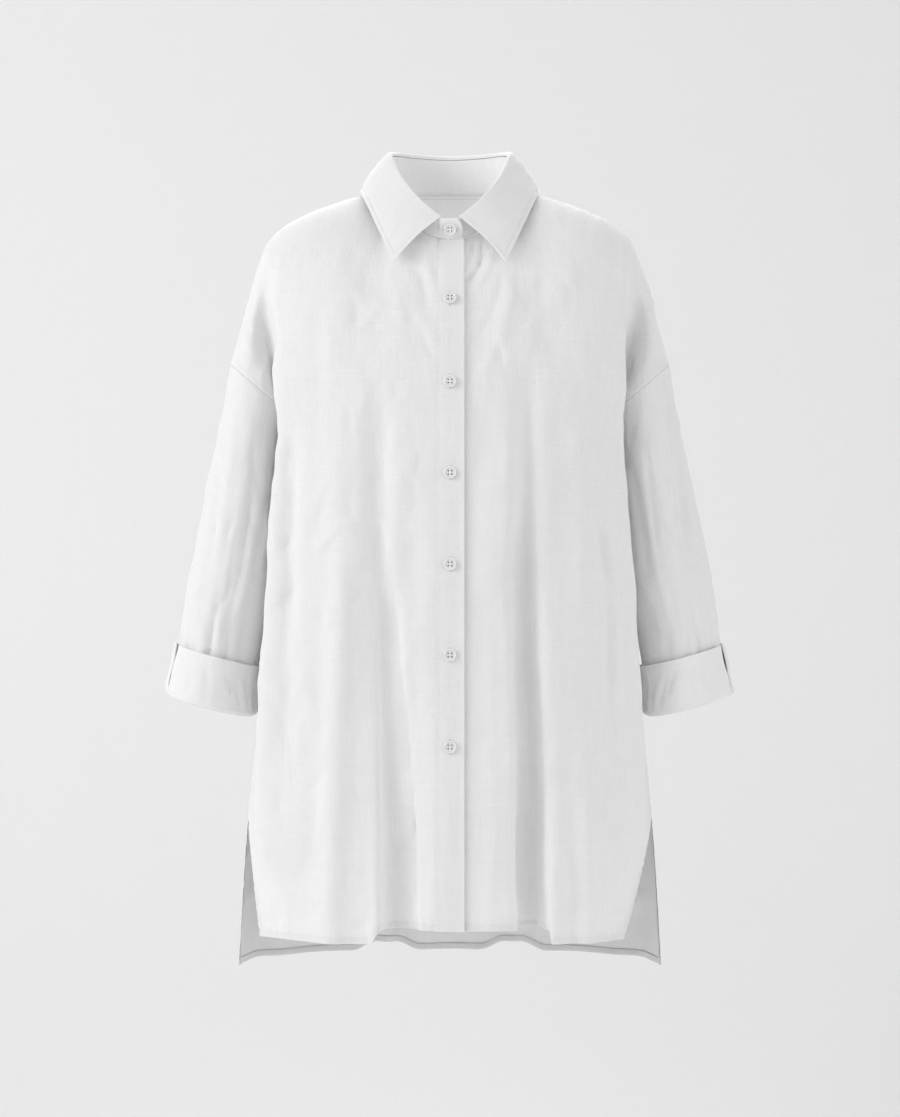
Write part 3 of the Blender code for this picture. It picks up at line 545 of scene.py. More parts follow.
def ease(value, low, high):
    """0 up to low, 1 from high on, with a soft slope between."""
    t = np.clip((value - low) / (high - low), 0.0, 1.0)
    return t * t * (3 - 2 * t)


def mix(a, b, t):
    return a + (b - a) * t


def unit(vectors):
    return vectors / np.maximum(np.linalg.norm(vectors, axis=-1, keepdims=True), 1e-12)


# The form of the body

def neckline(face, across):
    angle = across * math.pi / 2
    reach = NECK_HALF_WIDTH * np.sin(angle)
    if face == "front":
        depth = NECK_FRONT * np.cos(angle)
        rise = np.abs(np.sin(angle)) ** NECK_FRONT_CURVE
        height = mix(-NECK_FRONT_DROP, NECK_SIDE_RISE, rise)
    else:
        depth = NECK_BACK * np.cos(angle)
        height = mix(NECK_BACK_RISE, NECK_SIDE_RISE, np.sin(angle) ** 2)
    return reach, depth, height


def top_row(face, u):
    n_reach, n_depth, n_height = neckline(face, np.clip(u / AT_NECK_SIDE, 0, 1))
    on_seam = u > AT_NECK_SIDE
    reach = np.where(on_seam, table_curve(SHOULDER_SEAM, 1, u), n_reach)
    height = np.where(on_seam, table_curve(SHOULDER_SEAM, 2, u), n_height)
    depth = np.where(on_seam, 0.0, n_depth)
    return reach, depth, height


def armhole(face, t):
    angle = t * math.pi
    depth = ARMHOLE_FRONT if face == "front" else ARMHOLE_BACK
    reach = ARMHOLE_X + ARMHOLE_HALF_WIDTH * np.cos(angle)
    height = -ARMHOLE_DROP + ARMHOLE_HALF_RISE * np.cos(angle)
    return reach, depth * np.sin(angle), height


def section(face, side, drop, u):
    table = FRONT_SECTIONS if face == "front" else BACK_SECTIONS
    width, edge, centre = (table_curve(table, column, drop) for column in (1, 2, 3))
    seam = table_curve(SIDE_SEAM, 1, drop)
    seam_depth = np.zeros_like(drop)
    hem = FRONT_HEM if face == "front" else BACK_HEM
    open_part = np.clip((drop - SLIT_TOP) / (hem - SLIT_TOP), 0, 1)
    if face == "front":
        hem_reach, hem_depth = FRONT_SLIT[side]
        width = mix(width, hem_reach * HEM_CHEST, ease(open_part, 0, 1))
        edge = mix(edge, hem_depth + HEM_CHEST_DEPTH, ease(open_part, 0, 1))
        seam = mix(seam, hem_reach, open_part ** FRONT_SLIT_CURVE[0])
        seam_depth = hem_depth * open_part ** FRONT_SLIT_CURVE[1]
    else:
        seam = mix(seam, BACK_SLIT[0], open_part ** BACK_SLIT_CURVE)
        seam_depth = -BACK_SLIT[1] * open_part
    inner = np.clip(u / AT_EDGE, 0, 1)
    outer = np.clip((u - AT_EDGE) / (1 - AT_EDGE), 0, 1)
    reach = np.where(u < AT_EDGE, width * inner, mix(width, seam, outer))
    rounded = mix(edge, centre, 1 - inner ** CHEST_CURVE)
    depth = np.where(u < AT_EDGE, rounded, mix(edge, seam_depth, outer))
    return reach, depth


def upper_body(face, side, t, u):
    """Reach, depth and height between the shoulder, t = 0, and the underarm, t = 1."""
    top = top_row(face, u)
    low_reach, low_depth = section(face, side, np.full_like(u, UNDERARM), u)
    shoulder = np.sqrt(1 - (1 - t) ** 2)
    chest = 1 - (1 - t) ** 2
    bulge = mix(chest, shoulder, ease(u, *SHOULDER_FROM))
    reach = mix(top[0], low_reach, t)
    depth = mix(top[1], low_depth, bulge)
    height = mix(top[2], -UNDERARM, t)
    # past the edge of the chest the cloth dips into the fold and comes out over the arm
    at_edge = np.full_like(u, AT_EDGE)
    q = np.clip((u - AT_EDGE) / (1 - AT_EDGE), 0, 1)
    edge_top = top_row(face, at_edge)
    edge_low = section(face, side, np.full_like(u, UNDERARM), at_edge)
    arm_top = armhole(face, 0.0)
    arm = armhole(face, t)
    edge = (mix(edge_top[0], edge_low[0], t), edge_low[1] * shoulder, mix(edge_top[2], -UNDERARM, t))
    swell = (1 - t) ** ARM_SWELL
    lobe_reach = mix(edge[0], arm[0], q) + (top[0] - mix(edge_top[0], arm_top[0], q)) * swell
    lobe_height = mix(edge[2], arm[2], q) + (top[2] - mix(edge_top[2], arm_top[2], q)) * swell
    groove = GROOVE_FRONT if face == "front" else GROOVE_BACK
    along = ease(t, *GROOVE_START) * (1 - ease(t, *GROOVE_END))
    sunk = groove * along * np.sin(math.pi * q ** GROOVE_PLACE) ** 2
    lobe_depth = mix(edge[1], arm[1], q) - sunk
    past = u > AT_EDGE
    return (np.where(past, lobe_reach, reach), np.where(past, lobe_depth, depth),
            np.where(past, lobe_height, height))


def fold_depth(folds, x, drop):
    out = np.zeros_like(x)
    for top_x, top, low_x, low, half_width, at_top, at_low in folds:
        down = (drop - top) / (low - top)
        line = mix(top_x, low_x, np.clip(down, 0, FOLD_END[1]))
        strength = mix(at_top, at_low, np.clip(down, 0, 1)) * ease(down, *FOLD_START)
        if low < HEM_FOLDS_FROM:
            strength = strength * (1 - ease(down, *FOLD_END))
        out += strength * np.exp(-((x - line) / half_width) ** 2)
    return out


def hem_lift(lifts, x):
    lift = np.zeros_like(x)
    for start, end, rise, step in lifts:
        lift += rise * ease(x, start - step, start + step) * (1 - ease(x, end - step, end + step))
    return lift


def round_corners(reach, depth, amount):
    soft_reach, soft_depth = reach.copy(), depth.copy()
    for _ in range(ROUND_PASSES):
        for line in (soft_reach, soft_depth):
            line[:, 1:-1] = (line[:, :-2] + 2 * line[:, 1:-1] + line[:, 2:]) / 4
    return mix(reach, soft_reach, amount), mix(depth, soft_depth, amount)


def body_grid(face, side, v):
    """The form of a half panel: a row for each v, a column for each u, past the centre line too."""
    u_line = np.linspace(-PAST_CENTRE, 1.0, FINE_COLUMNS + 1)
    v, u = np.meshgrid(v, np.abs(u_line), indexing="ij")
    t = np.clip(v / AT_UNDERARM, 0, 1)
    up_reach, up_depth, up_height = upper_body(face, side, t, u)
    seam_hem = FRONT_HEM if face == "front" else BACK_HEM
    drop = np.where(v < AT_SLIT,
                    mix(UNDERARM, SLIT_TOP, (v - AT_UNDERARM) / (AT_SLIT - AT_UNDERARM)),
                    mix(SLIT_TOP, seam_hem, (v - AT_SLIT) / (1 - AT_SLIT)))
    low_reach, low_depth = section(face, side, drop, u)
    upper = v < AT_UNDERARM
    reach = np.where(upper, up_reach, low_reach)
    depth = np.where(upper, up_depth, low_depth)
    height = np.where(upper, up_height, -drop)
    amount = ease(v, 0.0, CORNERS_SOFT_FROM)
    reach, depth = round_corners(reach * np.sign(u_line)[None, :], depth, amount)
    x = side * reach
    inside = 1 - ease(u, *FOLD_INSIDE)
    folds = FRONT_FOLDS if face == "front" else BACK_FOLDS
    depth = depth + fold_depth(folds, x, -height) * inside
    lifts = (FRONT_LIFT,) if face == "front" else BACK_LIFTS
    height = height + hem_lift(lifts, x) * ease(v, AT_UNDERARM, 1.0)
    y = -depth if face == "front" else depth
    return u_line, np.stack([x, y, height], axis=-1)


def columns_at(u_line, grid, places):
    """Places across each row of the grid; places is one line for all rows or one line a row."""
    places = np.broadcast_to(places, (grid.shape[0], np.shape(places)[-1]))
    out = np.empty((*places.shape, 3))
    for row in range(grid.shape[0]):
        for axis in range(3):
            out[row, :, axis] = np.interp(places[row], u_line, grid[row, :, axis])
    return out


def u_at_x(u_line, grid, x):
    near = u_line < NEAR_CENTRE
    line = grid[:, near, 0]
    if line[0, -1] < line[0, 0]:
        return np.array([np.interp(-x, -row, u_line[near]) for row in line])
    return np.array([np.interp(x, row, u_line[near]) for row in line])


def panel_rows():
    """Rows down a panel, closer together beside the neck and shoulder seams and the hem."""
    arm = np.linspace(0, AT_UNDERARM, ARM_ROWS + 1)
    body = np.linspace(AT_UNDERARM, AT_SLIT, BODY_ROWS + 1)[1:]
    slit = np.linspace(AT_SLIT, 1.0, SLIT_ROWS + 1)[1:]
    near = [*NEAR_TOP, *(1 - step for step in NEAR_TOP)]
    return np.unique(np.concatenate([arm, body, slit, near]))


# Rows of a panel: all of them, those beside the armhole, those of the slit
WHOLE = slice(None)
ARM_PART = slice(0, np.searchsorted(panel_rows(), AT_UNDERARM) + 1)
SLIT_PART = slice(np.searchsorted(panel_rows(), AT_SLIT), None)


def places_across():
    near = [1 - step for step in NEAR_SEAM]
    return np.unique(np.concatenate([np.linspace(0, 1, PANEL_COLUMNS + 1), near]))


def grid_normals(points, closed=False):
    down = np.gradient(points, axis=0)
    if closed:
        over = np.roll(points, -1, axis=1) - np.roll(points, 1, axis=1)
    else:
        over = np.gradient(points, axis=1)
    return unit(np.cross(over, down))


def outward(points, normals, centre_x=0.0):
    away = (points - np.array([centre_x, 0.0, 0.0])) * (1, 1, 0)
    return -normals if np.sum(normals * away) < 0 else normals


# Relief of the cloth

def crease_relief(table, across, down):
    """Creases on a flat map of the cloth, troughs below 0 and ridges above; each fades at its ends."""
    out = np.zeros_like(across)
    for x0, d0, x1, d1, bow, half, height, sharp in table:
        run = math.hypot(x1 - x0, d1 - d0)
        dx, dd = (x1 - x0) / run, (d1 - d0) / run
        along = ((across - x0) * dx + (down - d0) * dd) / run
        off = (across - x0) * dd - (down - d0) * dx - bow * 4 * along * (1 - along)
        fade = ease(along, *CREASE_START) * (1 - ease(along, *CREASE_END))
        soft = np.exp(-(off / half) ** 2)
        crisp = np.exp(-np.sqrt((off / half) ** 2 + CRISP_ROUNDING))
        out += height * fade * mix(soft, crisp, sharp)
    return out


def patches(across, down, size, seed):
    """Smooth unevenness between -1 and 1 in patches of one size, from a seeded lattice of heights."""
    draw = np.random.default_rng(seed)
    lattice = draw.uniform(-1, 1, (LATTICE, LATTICE))
    a, d = across / size + LATTICE_START[0], down / size + LATTICE_START[1]
    i, j = np.floor(a).astype(int), np.floor(d).astype(int)
    fa, fd = a - i, d - j
    fa, fd = fa ** 3 * (fa * (fa * 6 - 15) + 10), fd ** 3 * (fd * (fd * 6 - 15) + 10)
    corner = lambda di, dj: lattice[(i + di) % LATTICE, (j + dj) % LATTICE]
    return mix(mix(corner(0, 0), corner(1, 0), fa), mix(corner(0, 1), corner(1, 1), fa), fd)


def rumple(across, down, seed):
    """Unevenness at every size; the patches are longer down the cloth than across it."""
    out = np.zeros_like(across)
    for number, (size, height) in enumerate(RUMPLES):
        leaning = across + 0.35 * down
        out += height * patches(leaning, down * 0.55, size, seed + number)
        out += 0.5 * height * patches(across - 0.5 * down, down * 0.8, size * 0.8, seed + 10 + number)
    return out


def scattered(across, down, count, seed):
    """Short faint creases at seeded places, most of them near upright."""
    draw = np.random.default_rng(seed)
    table = []
    for _ in range(count):
        x, d = draw.uniform(across.min(), across.max()), draw.uniform(down.min(), down.max())
        lean, run = draw.normal(0, 0.55), draw.uniform(0.018, 0.055)
        bow = draw.uniform(-1, 1) * run * 0.08
        half, height = draw.uniform(0.0026, 0.0056), draw.choice((-1, 1)) * draw.uniform(0.0007, 0.0019)
        table.append((x, d, x + run * math.sin(lean), d + run * math.cos(lean), bow, half, height, 0.45))
    return crease_relief(table, across, down)


def puckers(from_seam, along, seed):
    """Small waves across a sewn line, dying out away from it."""
    size, most = PUCKER_DRIFT
    drift = patches(along, from_seam * 0, size, seed) * most
    wave = np.sin(2 * math.pi * along / PUCKER_PITCH + drift)
    wave += 0.5 * np.sin(along * PUCKER_RIPPLE + 1.7 * drift)
    strength = 0.6 + 0.4 * patches(along, from_seam * 0, PUCKER_PATCH, seed + 1)
    return PUCKER_HEIGHT * strength * wave * np.exp(-(from_seam / PUCKER_REACH) ** 2)


def lengths_along(points, axis):
    """Length of cloth from the start of each row or column to each of its points."""
    step = np.linalg.norm(np.diff(points, axis=axis), axis=-1)
    start = np.zeros_like(np.take(step, [0], axis=axis))
    return np.concatenate([start, np.cumsum(step, axis=axis)], axis=axis)


def edge_distances(points):
    """Length of cloth from each point to the top, foot, start and end of its grid."""
    down, over = lengths_along(points, 0), lengths_along(points, 1)
    return {"top": down, "foot": down[-1:] - down, "start": over, "end": over[:, -1:] - over}


def place_of(points, upright):
    """Flat map of the cloth in metres; upright cloth keeps its weft level and its warp plumb."""
    if not upright:
        return lengths_along(points, 1), lengths_along(points, 0)
    middle = np.argmin(np.abs(points[0, :, 0]))
    level = np.argmin(np.abs(points[:, middle, 2] + UNDERARM))
    over = lengths_along(points * (1, 1, 0), 1)
    down = lengths_along(points * (0, 1, 1), 0)
    return over - over[:, middle:middle + 1], down - down[level:level + 1] - points[level:level + 1, :, 2]


def dip(distance, at, depth, half=0.0010):
    """The narrow furrow of a sewn line at a distance from an edge."""
    return -depth * np.exp(-((distance - at) / half) ** 2)


# Meshes

def placed(name, data):
    """A new object in the scene."""
    made = bpy.data.objects.new(name, data)
    bpy.context.scene.collection.objects.link(made)
    return made


def mesh_of(name, points, faces):
    mesh = bpy.data.meshes.new(name)
    mesh.from_pydata(points, [], faces)
    mesh.shade_smooth()
    return mesh


def wrapped(grid):
    """A closed grid with its first column again at its end."""
    return np.concatenate([grid, grid[:, :1]], axis=1)


def cloth_mesh(name, grid, wall, closed=False, bevel=0.0, upright=False):
    """A shell of cloth on a grid of points, with its flat map as UV, in metres."""
    rows, columns = grid.shape[:2]
    last = columns if closed else columns - 1
    r, c = np.meshgrid(np.arange(rows - 1), np.arange(last), indexing="ij")
    a = r * columns + c
    b = r * columns + (c + 1) % columns
    faces = np.stack([a, a + columns, b + columns, b], axis=-1).reshape(-1, 4)
    mesh = mesh_of(name, grid.reshape(-1, 3).tolist(), faces.tolist())
    place = np.stack(place_of(wrapped(grid) if closed else grid, upright), axis=-1)
    corners = np.stack([place[:-1, :last], place[1:, :last], place[1:, 1:last + 1], place[:-1, 1:last + 1]],
                       axis=2)
    mesh.uv_layers.new(name="cloth").data.foreach_set("uv", corners.reshape(-1))
    made = placed(name, mesh)
    shell = made.modifiers.new("layer", "SOLIDIFY")
    shell.thickness = wall
    shell.offset = 0.0
    shell.use_even_offset = False
    if bevel:
        rim = made.modifiers.new("rim", "BEVEL")
        rim.width = bevel
        rim.segments = 2
        rim.limit_method = "ANGLE"
        rim.angle_limit = RIM_ANGLE
        rim.use_clamp_overlap = True
    return made


def face_outwards(made, normals):
    """Turns the mesh over where its faces look into the shirt."""
    polygon = made.data.polygons[len(made.data.polygons) // 2]
    first = polygon.vertices[0]
    facing = np.dot(np.array(polygon.normal), normals.reshape(-1, 3)[first])
    if facing < 0:
        made.data.flip_normals()


def joined_mesh(name, parts):
    """One mesh from many small ones, each a pair of points and faces."""
    points, faces, start = [], [], 0
    for part_points, part_faces in parts:
        points.append(part_points)
        faces += [tuple(start + i for i in face) for face in part_faces]
        start += len(part_points)
    return placed(name, mesh_of(name, np.concatenate(points).tolist(), faces))


def raised(base, normals, relief, closed=False):
    """The cloth with its relief, and the way that it faces: its form."""
    points = base + normals * relief[..., None]
    facing = grid_normals(points, closed)
    return points, facing if np.sum(facing * normals) > 0 else -facing


# Sewing

def line_inside(grid, normals, edge, distance):
    """A line on the cloth at an even distance inside one edge of its grid."""
    if edge in ("start", "end"):
        grid, normals = grid.transpose(1, 0, 2), normals.transpose(1, 0, 2)
    if edge in ("foot", "end"):
        grid, normals = grid[::-1], normals[::-1]
    down = lengths_along(grid, 0)
    line, facing = (np.array([[np.interp(distance, down[:, column], values[:, column, axis])
                               for axis in range(3)] for column in range(grid.shape[1])])
                    for values in (grid, normals))
    return line, unit(facing)


def stitches(line, facing, lift, length=STITCH, gap=STITCH_GAP, radius=THREAD):
    """Stitches along a line, each a grain of thread that goes into the cloth at both ends."""
    step = np.linalg.norm(np.diff(line, axis=0), axis=1)
    run = np.concatenate([[0], np.cumsum(step)])
    count = int(run[-1] // (length + gap))
    starts = np.arange(count) * (length + gap) + gap
    at = lambda places, values: np.stack([np.interp(places, run, values[:, axis]) for axis in range(3)],
                                         axis=-1)
    out = unit(at(starts, facing))
    a, b = at(starts, line), at(starts + length, line)
    along = unit(b - a)
    over = np.cross(out, along)
    middle = (a + b) / 2 + out * lift
    parts = []
    for k in range(count):
        tip = out[k] * (lift - radius * 0.8)
        shoulder = along[k] * length * 0.28
        ring = []
        for place in (middle[k] - shoulder, middle[k] + shoulder):
            ring += [place + out[k] * radius, place + over[k] * radius,
                     place - out[k] * radius, place - over[k] * radius]
        points = np.array([a[k] + tip, *ring, b[k] + tip])
        faces = []
        for side in range(4):
            turn = (side + 1) % 4
            faces += [(0, 1 + turn, 1 + side), (1 + side, 1 + turn, 5 + turn, 5 + side),
                      (9, 5 + side, 5 + turn)]
        parts.append((points, faces))
    return parts


def tape_inside(name, grid, normals, edge, width, depth):
    """The turned-in strip of a hem, on the inner side of the cloth."""
    lines = [line_inside(grid, normals, edge, width * k / 4) for k in range(5)]
    points = np.array([line - facing * depth for line, facing in lines])
    made = cloth_mesh(name, points, LAYER)
    face_outwards(made, np.array([facing for _, facing in lines]))
    return made


# Materials

def new_group(name, inputs, outputs):
    group = bpy.data.node_groups.new(name, "ShaderNodeTree")
    for label, kind, value in inputs:
        socket = group.interface.new_socket(name=label, in_out="INPUT", socket_type=kind)
        if value is not None:
            socket.default_value = value
    for label, kind in outputs:
        group.interface.new_socket(name=label, in_out="OUTPUT", socket_type=kind)
    return group, group.nodes.new("NodeGroupInput"), group.nodes.new("NodeGroupOutput")


def maths(tree, operation, a, b=None, c=None):
    node = tree.nodes.new("ShaderNodeMath")
    node.operation = operation
    for socket, value in zip(node.inputs, (a, b, c)):
        if value is None:
            continue
        if isinstance(value, (int, float)):
            socket.default_value = value
        else:
            tree.links.new(value, socket)
    return node.outputs[0]


def new_material(name, values):
    """A material with plain values on its shader, its node tree and that shader."""
    made = bpy.data.materials.new(name)
    made.use_nodes = True
    shader = made.node_tree.nodes["Principled BSDF"]
    for socket, value in values.items():
        shader.inputs[socket].default_value = value
    return made, made.node_tree, shader


def new_node(tree, kind, values=(), **settings):
    """A node with settings of its own and plain values on its sockets."""
    node = tree.nodes.new(kind)
    for setting, value in settings.items():
        setattr(node, setting, value)
    for socket, value in values:
        node.inputs[socket].default_value = value
    return node


def colour_between(tree, shader, low, high, share):
    """The shader's colour, between two by a share that changes over the surface."""
    colour = new_node(tree, "ShaderNodeMix", (("A", (*low, 1.0)), ("B", (*high, 1.0))), data_type="RGBA")
    tree.links.new(share, colour.inputs["Factor"])
    tree.links.new(colour.outputs["Result"], shader.inputs["Base Color"])


def grain(tree, *values):
    """Noise in the space of the piece itself."""
    noise = new_node(tree, "ShaderNodeTexNoise", values)
    tree.links.new(tree.nodes.new("ShaderNodeTexCoord").outputs["Object"], noise.inputs["Vector"])
    return noise.outputs["Fac"]


def streaks(tree, place, across, down, detail, shift):
    """Noise drawn out along one set of threads: its size across and down, in metres."""
    mapping = new_node(tree, "ShaderNodeMapping", (
        ("Scale", (1 / across, 1 / down, 1.0)), ("Location", (shift, shift * 0.7, shift))))
    noise = new_node(tree, "ShaderNodeTexNoise", (("Scale", 1.0), ("Detail", detail), ("Roughness", 0.6)))
    tree.links.new(place, mapping.inputs["Vector"])
    tree.links.new(mapping.outputs["Vector"], noise.inputs["Vector"])
    return noise.outputs["Fac"]


def linen_weave_group():
    """Plain weave of uneven linen yarn: height of the threads and slubs, and how light they are."""
    group, given, made = new_group(
        "linen_weave",
        (("Place", "NodeSocketVector", None), ("Slubs", "NodeSocketFloat", 1.0)),
        (("Height", "NodeSocketFloat"), ("Lightness", "NodeSocketFloat")))
    place = given.outputs["Place"]
    split = group.nodes.new("ShaderNodeSeparateXYZ")
    group.links.new(place, split.inputs[0])
    turns = 2 * math.pi / THREAD_PITCH
    warp_wave, weft_wave = (maths(group, "SINE", maths(group, "MULTIPLY", split.outputs[axis], turns))
                            for axis in ("X", "Y"))
    threads = maths(group, "MULTIPLY", warp_wave, weft_wave)
    warp = streaks(group, place, 0.0011, 0.045, 2.0, 3.1)
    weft = streaks(group, place, 0.038, 0.0011, 2.0, 8.4)
    thick_warp, thick_weft = (
        maths(group, "SMOOTH_MAX", maths(group, "SUBTRACT", streaks(group, place, *size, 1.0, shift), 0.62),
              0.0, 0.02)
        for size, shift in (((0.0016, 0.090), 21.0), ((0.070, 0.0016), 34.0)))
    yarn = maths(group, "ADD", warp, maths(group, "MULTIPLY_ADD", weft, 0.6, 0.2))
    thick = maths(group, "ADD", thick_warp, thick_weft)
    cloud = streaks(group, place, 0.055, 0.080, 3.0, 5.5)
    slubs = maths(group, "MULTIPLY_ADD", thick, 3.0, maths(group, "SUBTRACT", yarn, 1.0))
    slubs = maths(group, "MULTIPLY", slubs, given.outputs["Slubs"])
    height = maths(group, "MULTIPLY_ADD", threads, 0.16, slubs)
    for across, down, shift, size in ((0.010, 0.042, 12.6, 2.6), (0.024, 0.070, 47.0, 5.0)):
        folded = maths(group, "SUBTRACT", streaks(group, place, across, down, 1.0, shift), 0.5)
        height = maths(group, "MULTIPLY_ADD", maths(group, "ABSOLUTE", folded), size, height)
    group.links.new(height, made.inputs["Height"])
    light = maths(group, "MULTIPLY_ADD", slubs, 0.70, 0.66)
    light = maths(group, "MULTIPLY_ADD", maths(group, "SUBTRACT", cloud, 0.5), 0.25, light)
    group.links.new(light, made.inputs["Lightness"])
    return group


def linen_material(name, weave, slubs, bump, light, deep):
    """Linen by its weave, with a soft sheen; the two colours are those of raised and sunken yarn."""
    made, tree, shader = new_material(name, {
        "Roughness": 0.86, "Specular IOR Level": 0.22, "Sheen Weight": 0.22, "Sheen Roughness": 0.45,
        "Subsurface Weight": 0.38, "Subsurface Radius": (1.0, 1.0, 1.0), "Subsurface Scale": 0.0016})
    uv = new_node(tree, "ShaderNodeUVMap", uv_map="cloth")
    cloth = new_node(tree, "ShaderNodeGroup", (("Slubs", slubs),), node_tree=weave)
    relief = new_node(tree, "ShaderNodeBump", (("Strength", bump), ("Distance", 0.0004)))
    tree.links.new(uv.outputs["UV"], cloth.inputs["Place"])
    colour_between(tree, shader, deep, light, cloth.outputs["Lightness"])
    tree.links.new(cloth.outputs["Height"], relief.inputs["Height"])
    tree.links.new(relief.outputs["Normal"], shader.inputs["Normal"])
    return made


def thread_material(name, tone):
    made, tree, shader = new_material(name, {"Roughness": 0.6, "Sheen Weight": 0.3})
    colour_between(tree, shader, [c * 0.9 for c in tone], tone, grain(tree, ("Scale", 900.0)))
    return made


def button_material(name, light, deep):
    """White button with a faint cloudy grain and a satin polish."""
    made, tree, shader = new_material(name, {"Coat Roughness": 0.2, "Coat Weight": 0.25})
    cloud = grain(tree, ("Scale", 260.0), ("Detail", 3.0), ("Distortion", 0.8))
    colour_between(tree, shader, deep, light, cloud)
    tree.links.new(maths(tree, "MULTIPLY_ADD", cloud, 0.18, 0.22), shader.inputs["Roughness"])
    return made


WEAVE = linen_weave_group()
LINEN = linen_material("linen", WEAVE, 1.0, 0.55, LINEN_LIGHT, LINEN_DEEP)
THREAD_FINISH = thread_material("sewing thread", THREAD_COLOUR)
# Dark thread: painted shade along the back neck seam
PAINTED_SHADE_THREAD = thread_material("neck seam painted shade", NECK_SEAM_PAINTED_SHADE)
BUTTON_FINISH = button_material("white button", BUTTON_COLOUR, BUTTON_SHADE)
# Second button material, dark: painted shade on the walls of the holes
PAINTED_SHADE_HOLE_FINISH = button_material("button hole painted shade", PAINTED_SHADE_HOLE_LIGHT, PAINTED_SHADE_HOLE_DEEP)


# Pieces of cloth

def dress(piece, material, node=None):
    """Gives a piece its finish and its body, and hides the solid that it stands for."""
    piece.data.materials.append(material)
    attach(piece, "root")
    if node:
        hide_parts(node)


def declare_sheet(piece, grid, with_pieces=(), rests_on=(), held="hung", closed=False):
    """Takes the grid of a piece, wrapped if it is closed, and states nothing from it."""
    if closed:
        grid = wrapped(grid)


def make_cloth(name, form, wall, tapes=(), seams=(), sewn=(), more=(), closed=False, bevel=0.0,
               upright=False, **sheet):
    """A piece of cloth with its turned-in strips and its stitching, dressed.

    A tape is its name, edge, rows, width and depth; a seam is its edge, rows, distance and lift.
    """
    points, facing = form
    cloth = cloth_mesh(f"{name}_cloth", points, wall, closed, bevel, upright)
    face_outwards(cloth, facing)
    dress(cloth, LINEN, name)
    others = []
    for label, edge, rows, width, depth in tapes:
        others.append(tape_inside(label, points[rows], facing[rows], edge, width, depth))
        dress(others[-1], LINEN)
    sewn = list(sewn)
    for edge, rows, distance, lift in seams:
        sewn += stitches(*line_inside(points[rows], facing[rows], edge, distance), lift)
    for label, parts, finish in ((f"{name}_stitching", sewn, THREAD_FINISH), *more):
        if parts:
            others.append(joined_mesh(label, parts))
            dress(others[-1], finish)
    declare_sheet(cloth, points, others, closed=closed, **sheet)
    return form


# Panels

def front_relief(points):
    """Relief of a front: main creases, unevenness, and puckers beside the placket."""
    x, drop = points[..., 0], -points[..., 2]
    from_centre = np.abs(x)
    out = crease_relief(FRONT_CREASES, x, drop)
    short = scattered(x, drop, FRONT_SHORT, SEEDS["front creases"] + int(x.mean() > 0))
    out += short * ease(from_centre, *SHORT_FROM)
    out += rumple(x, drop, SEEDS["front"]) * ease(from_centre, *RUMPLE_FROM)
    out += rumple(x, drop, SEEDS["both fronts"]) * 0.35
    out += puckers(np.abs(x - PLACKET_LEFT), drop, SEEDS["placket left"]) * 0.8 * (x < 0)
    out += puckers(np.abs(x - OVERLAP), drop, SEEDS["placket right"]) * 0.7 * (x > 0)
    return out


def back_relief(points):
    x, drop = points[..., 0], -points[..., 2]
    creases = crease_relief(BACK_CREASES, x, drop) + rumple(x, drop, SEEDS["back"])
    return creases + scattered(x, drop, BACK_SHORT, SEEDS["back creases"])


def edge_relief(points, seed):
    """Relief beside the hem, the slit and the seams."""
    far = edge_distances(points)
    out = puckers(far["foot"], far["start"], seed) * 0.9
    out += puckers(far["end"], far["top"], seed + 2) * 0.8
    out += dip(far["foot"], HEM_STITCH, STITCH_DIP)
    above = ease(points[..., 2], -UNDERARM - UNDERARM_NEAR, -UNDERARM + UNDERARM_NEAR)
    out += above * dip(far["end"], ARMHOLE_STITCH, STITCH_DIP * 0.8, ARMHOLE_DIP_HALF)
    out -= SEAM_DIP * np.exp(-far["end"] / SEAM_REACH)
    return out


def front_half(side):
    rows = panel_rows()
    u_line, grid = body_grid("front", side, rows)
    start = u_at_x(u_line, grid, -side * OVERLAP)
    lap = start[:, None] * np.linspace(1, 0, LAP_COLUMNS + 1)[None, :-1]
    across = np.broadcast_to(places_across(), (len(rows), len(places_across())))
    return columns_at(u_line, grid, np.concatenate([lap, across], axis=1))


def back_whole():
    halves = {}
    for side in (-1, 1):
        u_line, grid = body_grid("back", side, panel_rows())
        halves[side] = columns_at(u_line, grid, places_across())
    return np.concatenate([halves[-1][:, :0:-1], halves[1]], axis=1)


def seam_fade(points):
    """1 inside a panel, 0 on its shoulder seam, so that neighbours still meet there."""
    far = edge_distances(points)
    return ease(far["top"], 0.0, SEAM_FADE) * ease(far["end"], 0.0, SEAM_FADE)


def make_front(side, name):
    base = front_half(side)
    normals = outward(base, grid_normals(base))
    relief = front_relief(base) * seam_fade(base) + edge_relief(base, SEEDS["front edges"] + side)
    if side == 1:
        x = (base + normals * relief[..., None])[..., 0]
        relief -= LAYER_STEP * (1 - ease(x, *LAYER_FADE))
    make_cloth(
        name, raised(base, normals, relief), LAYER, upright=True,
        tapes=((f"{name}_hem", "foot", WHOLE, HEM_DEPTH, HEM_TAPE),
               (f"{name}_slit_hem", "end", SLIT_PART, SLIT_DEPTH, SLIT_TAPE)),
        seams=(("foot", WHOLE, HEM_STITCH, LAYER / 2), ("end", SLIT_PART, SLIT_STITCH, LAYER / 2),
               ("end", ARM_PART, ARMHOLE_STITCH, LAYER / 2)))


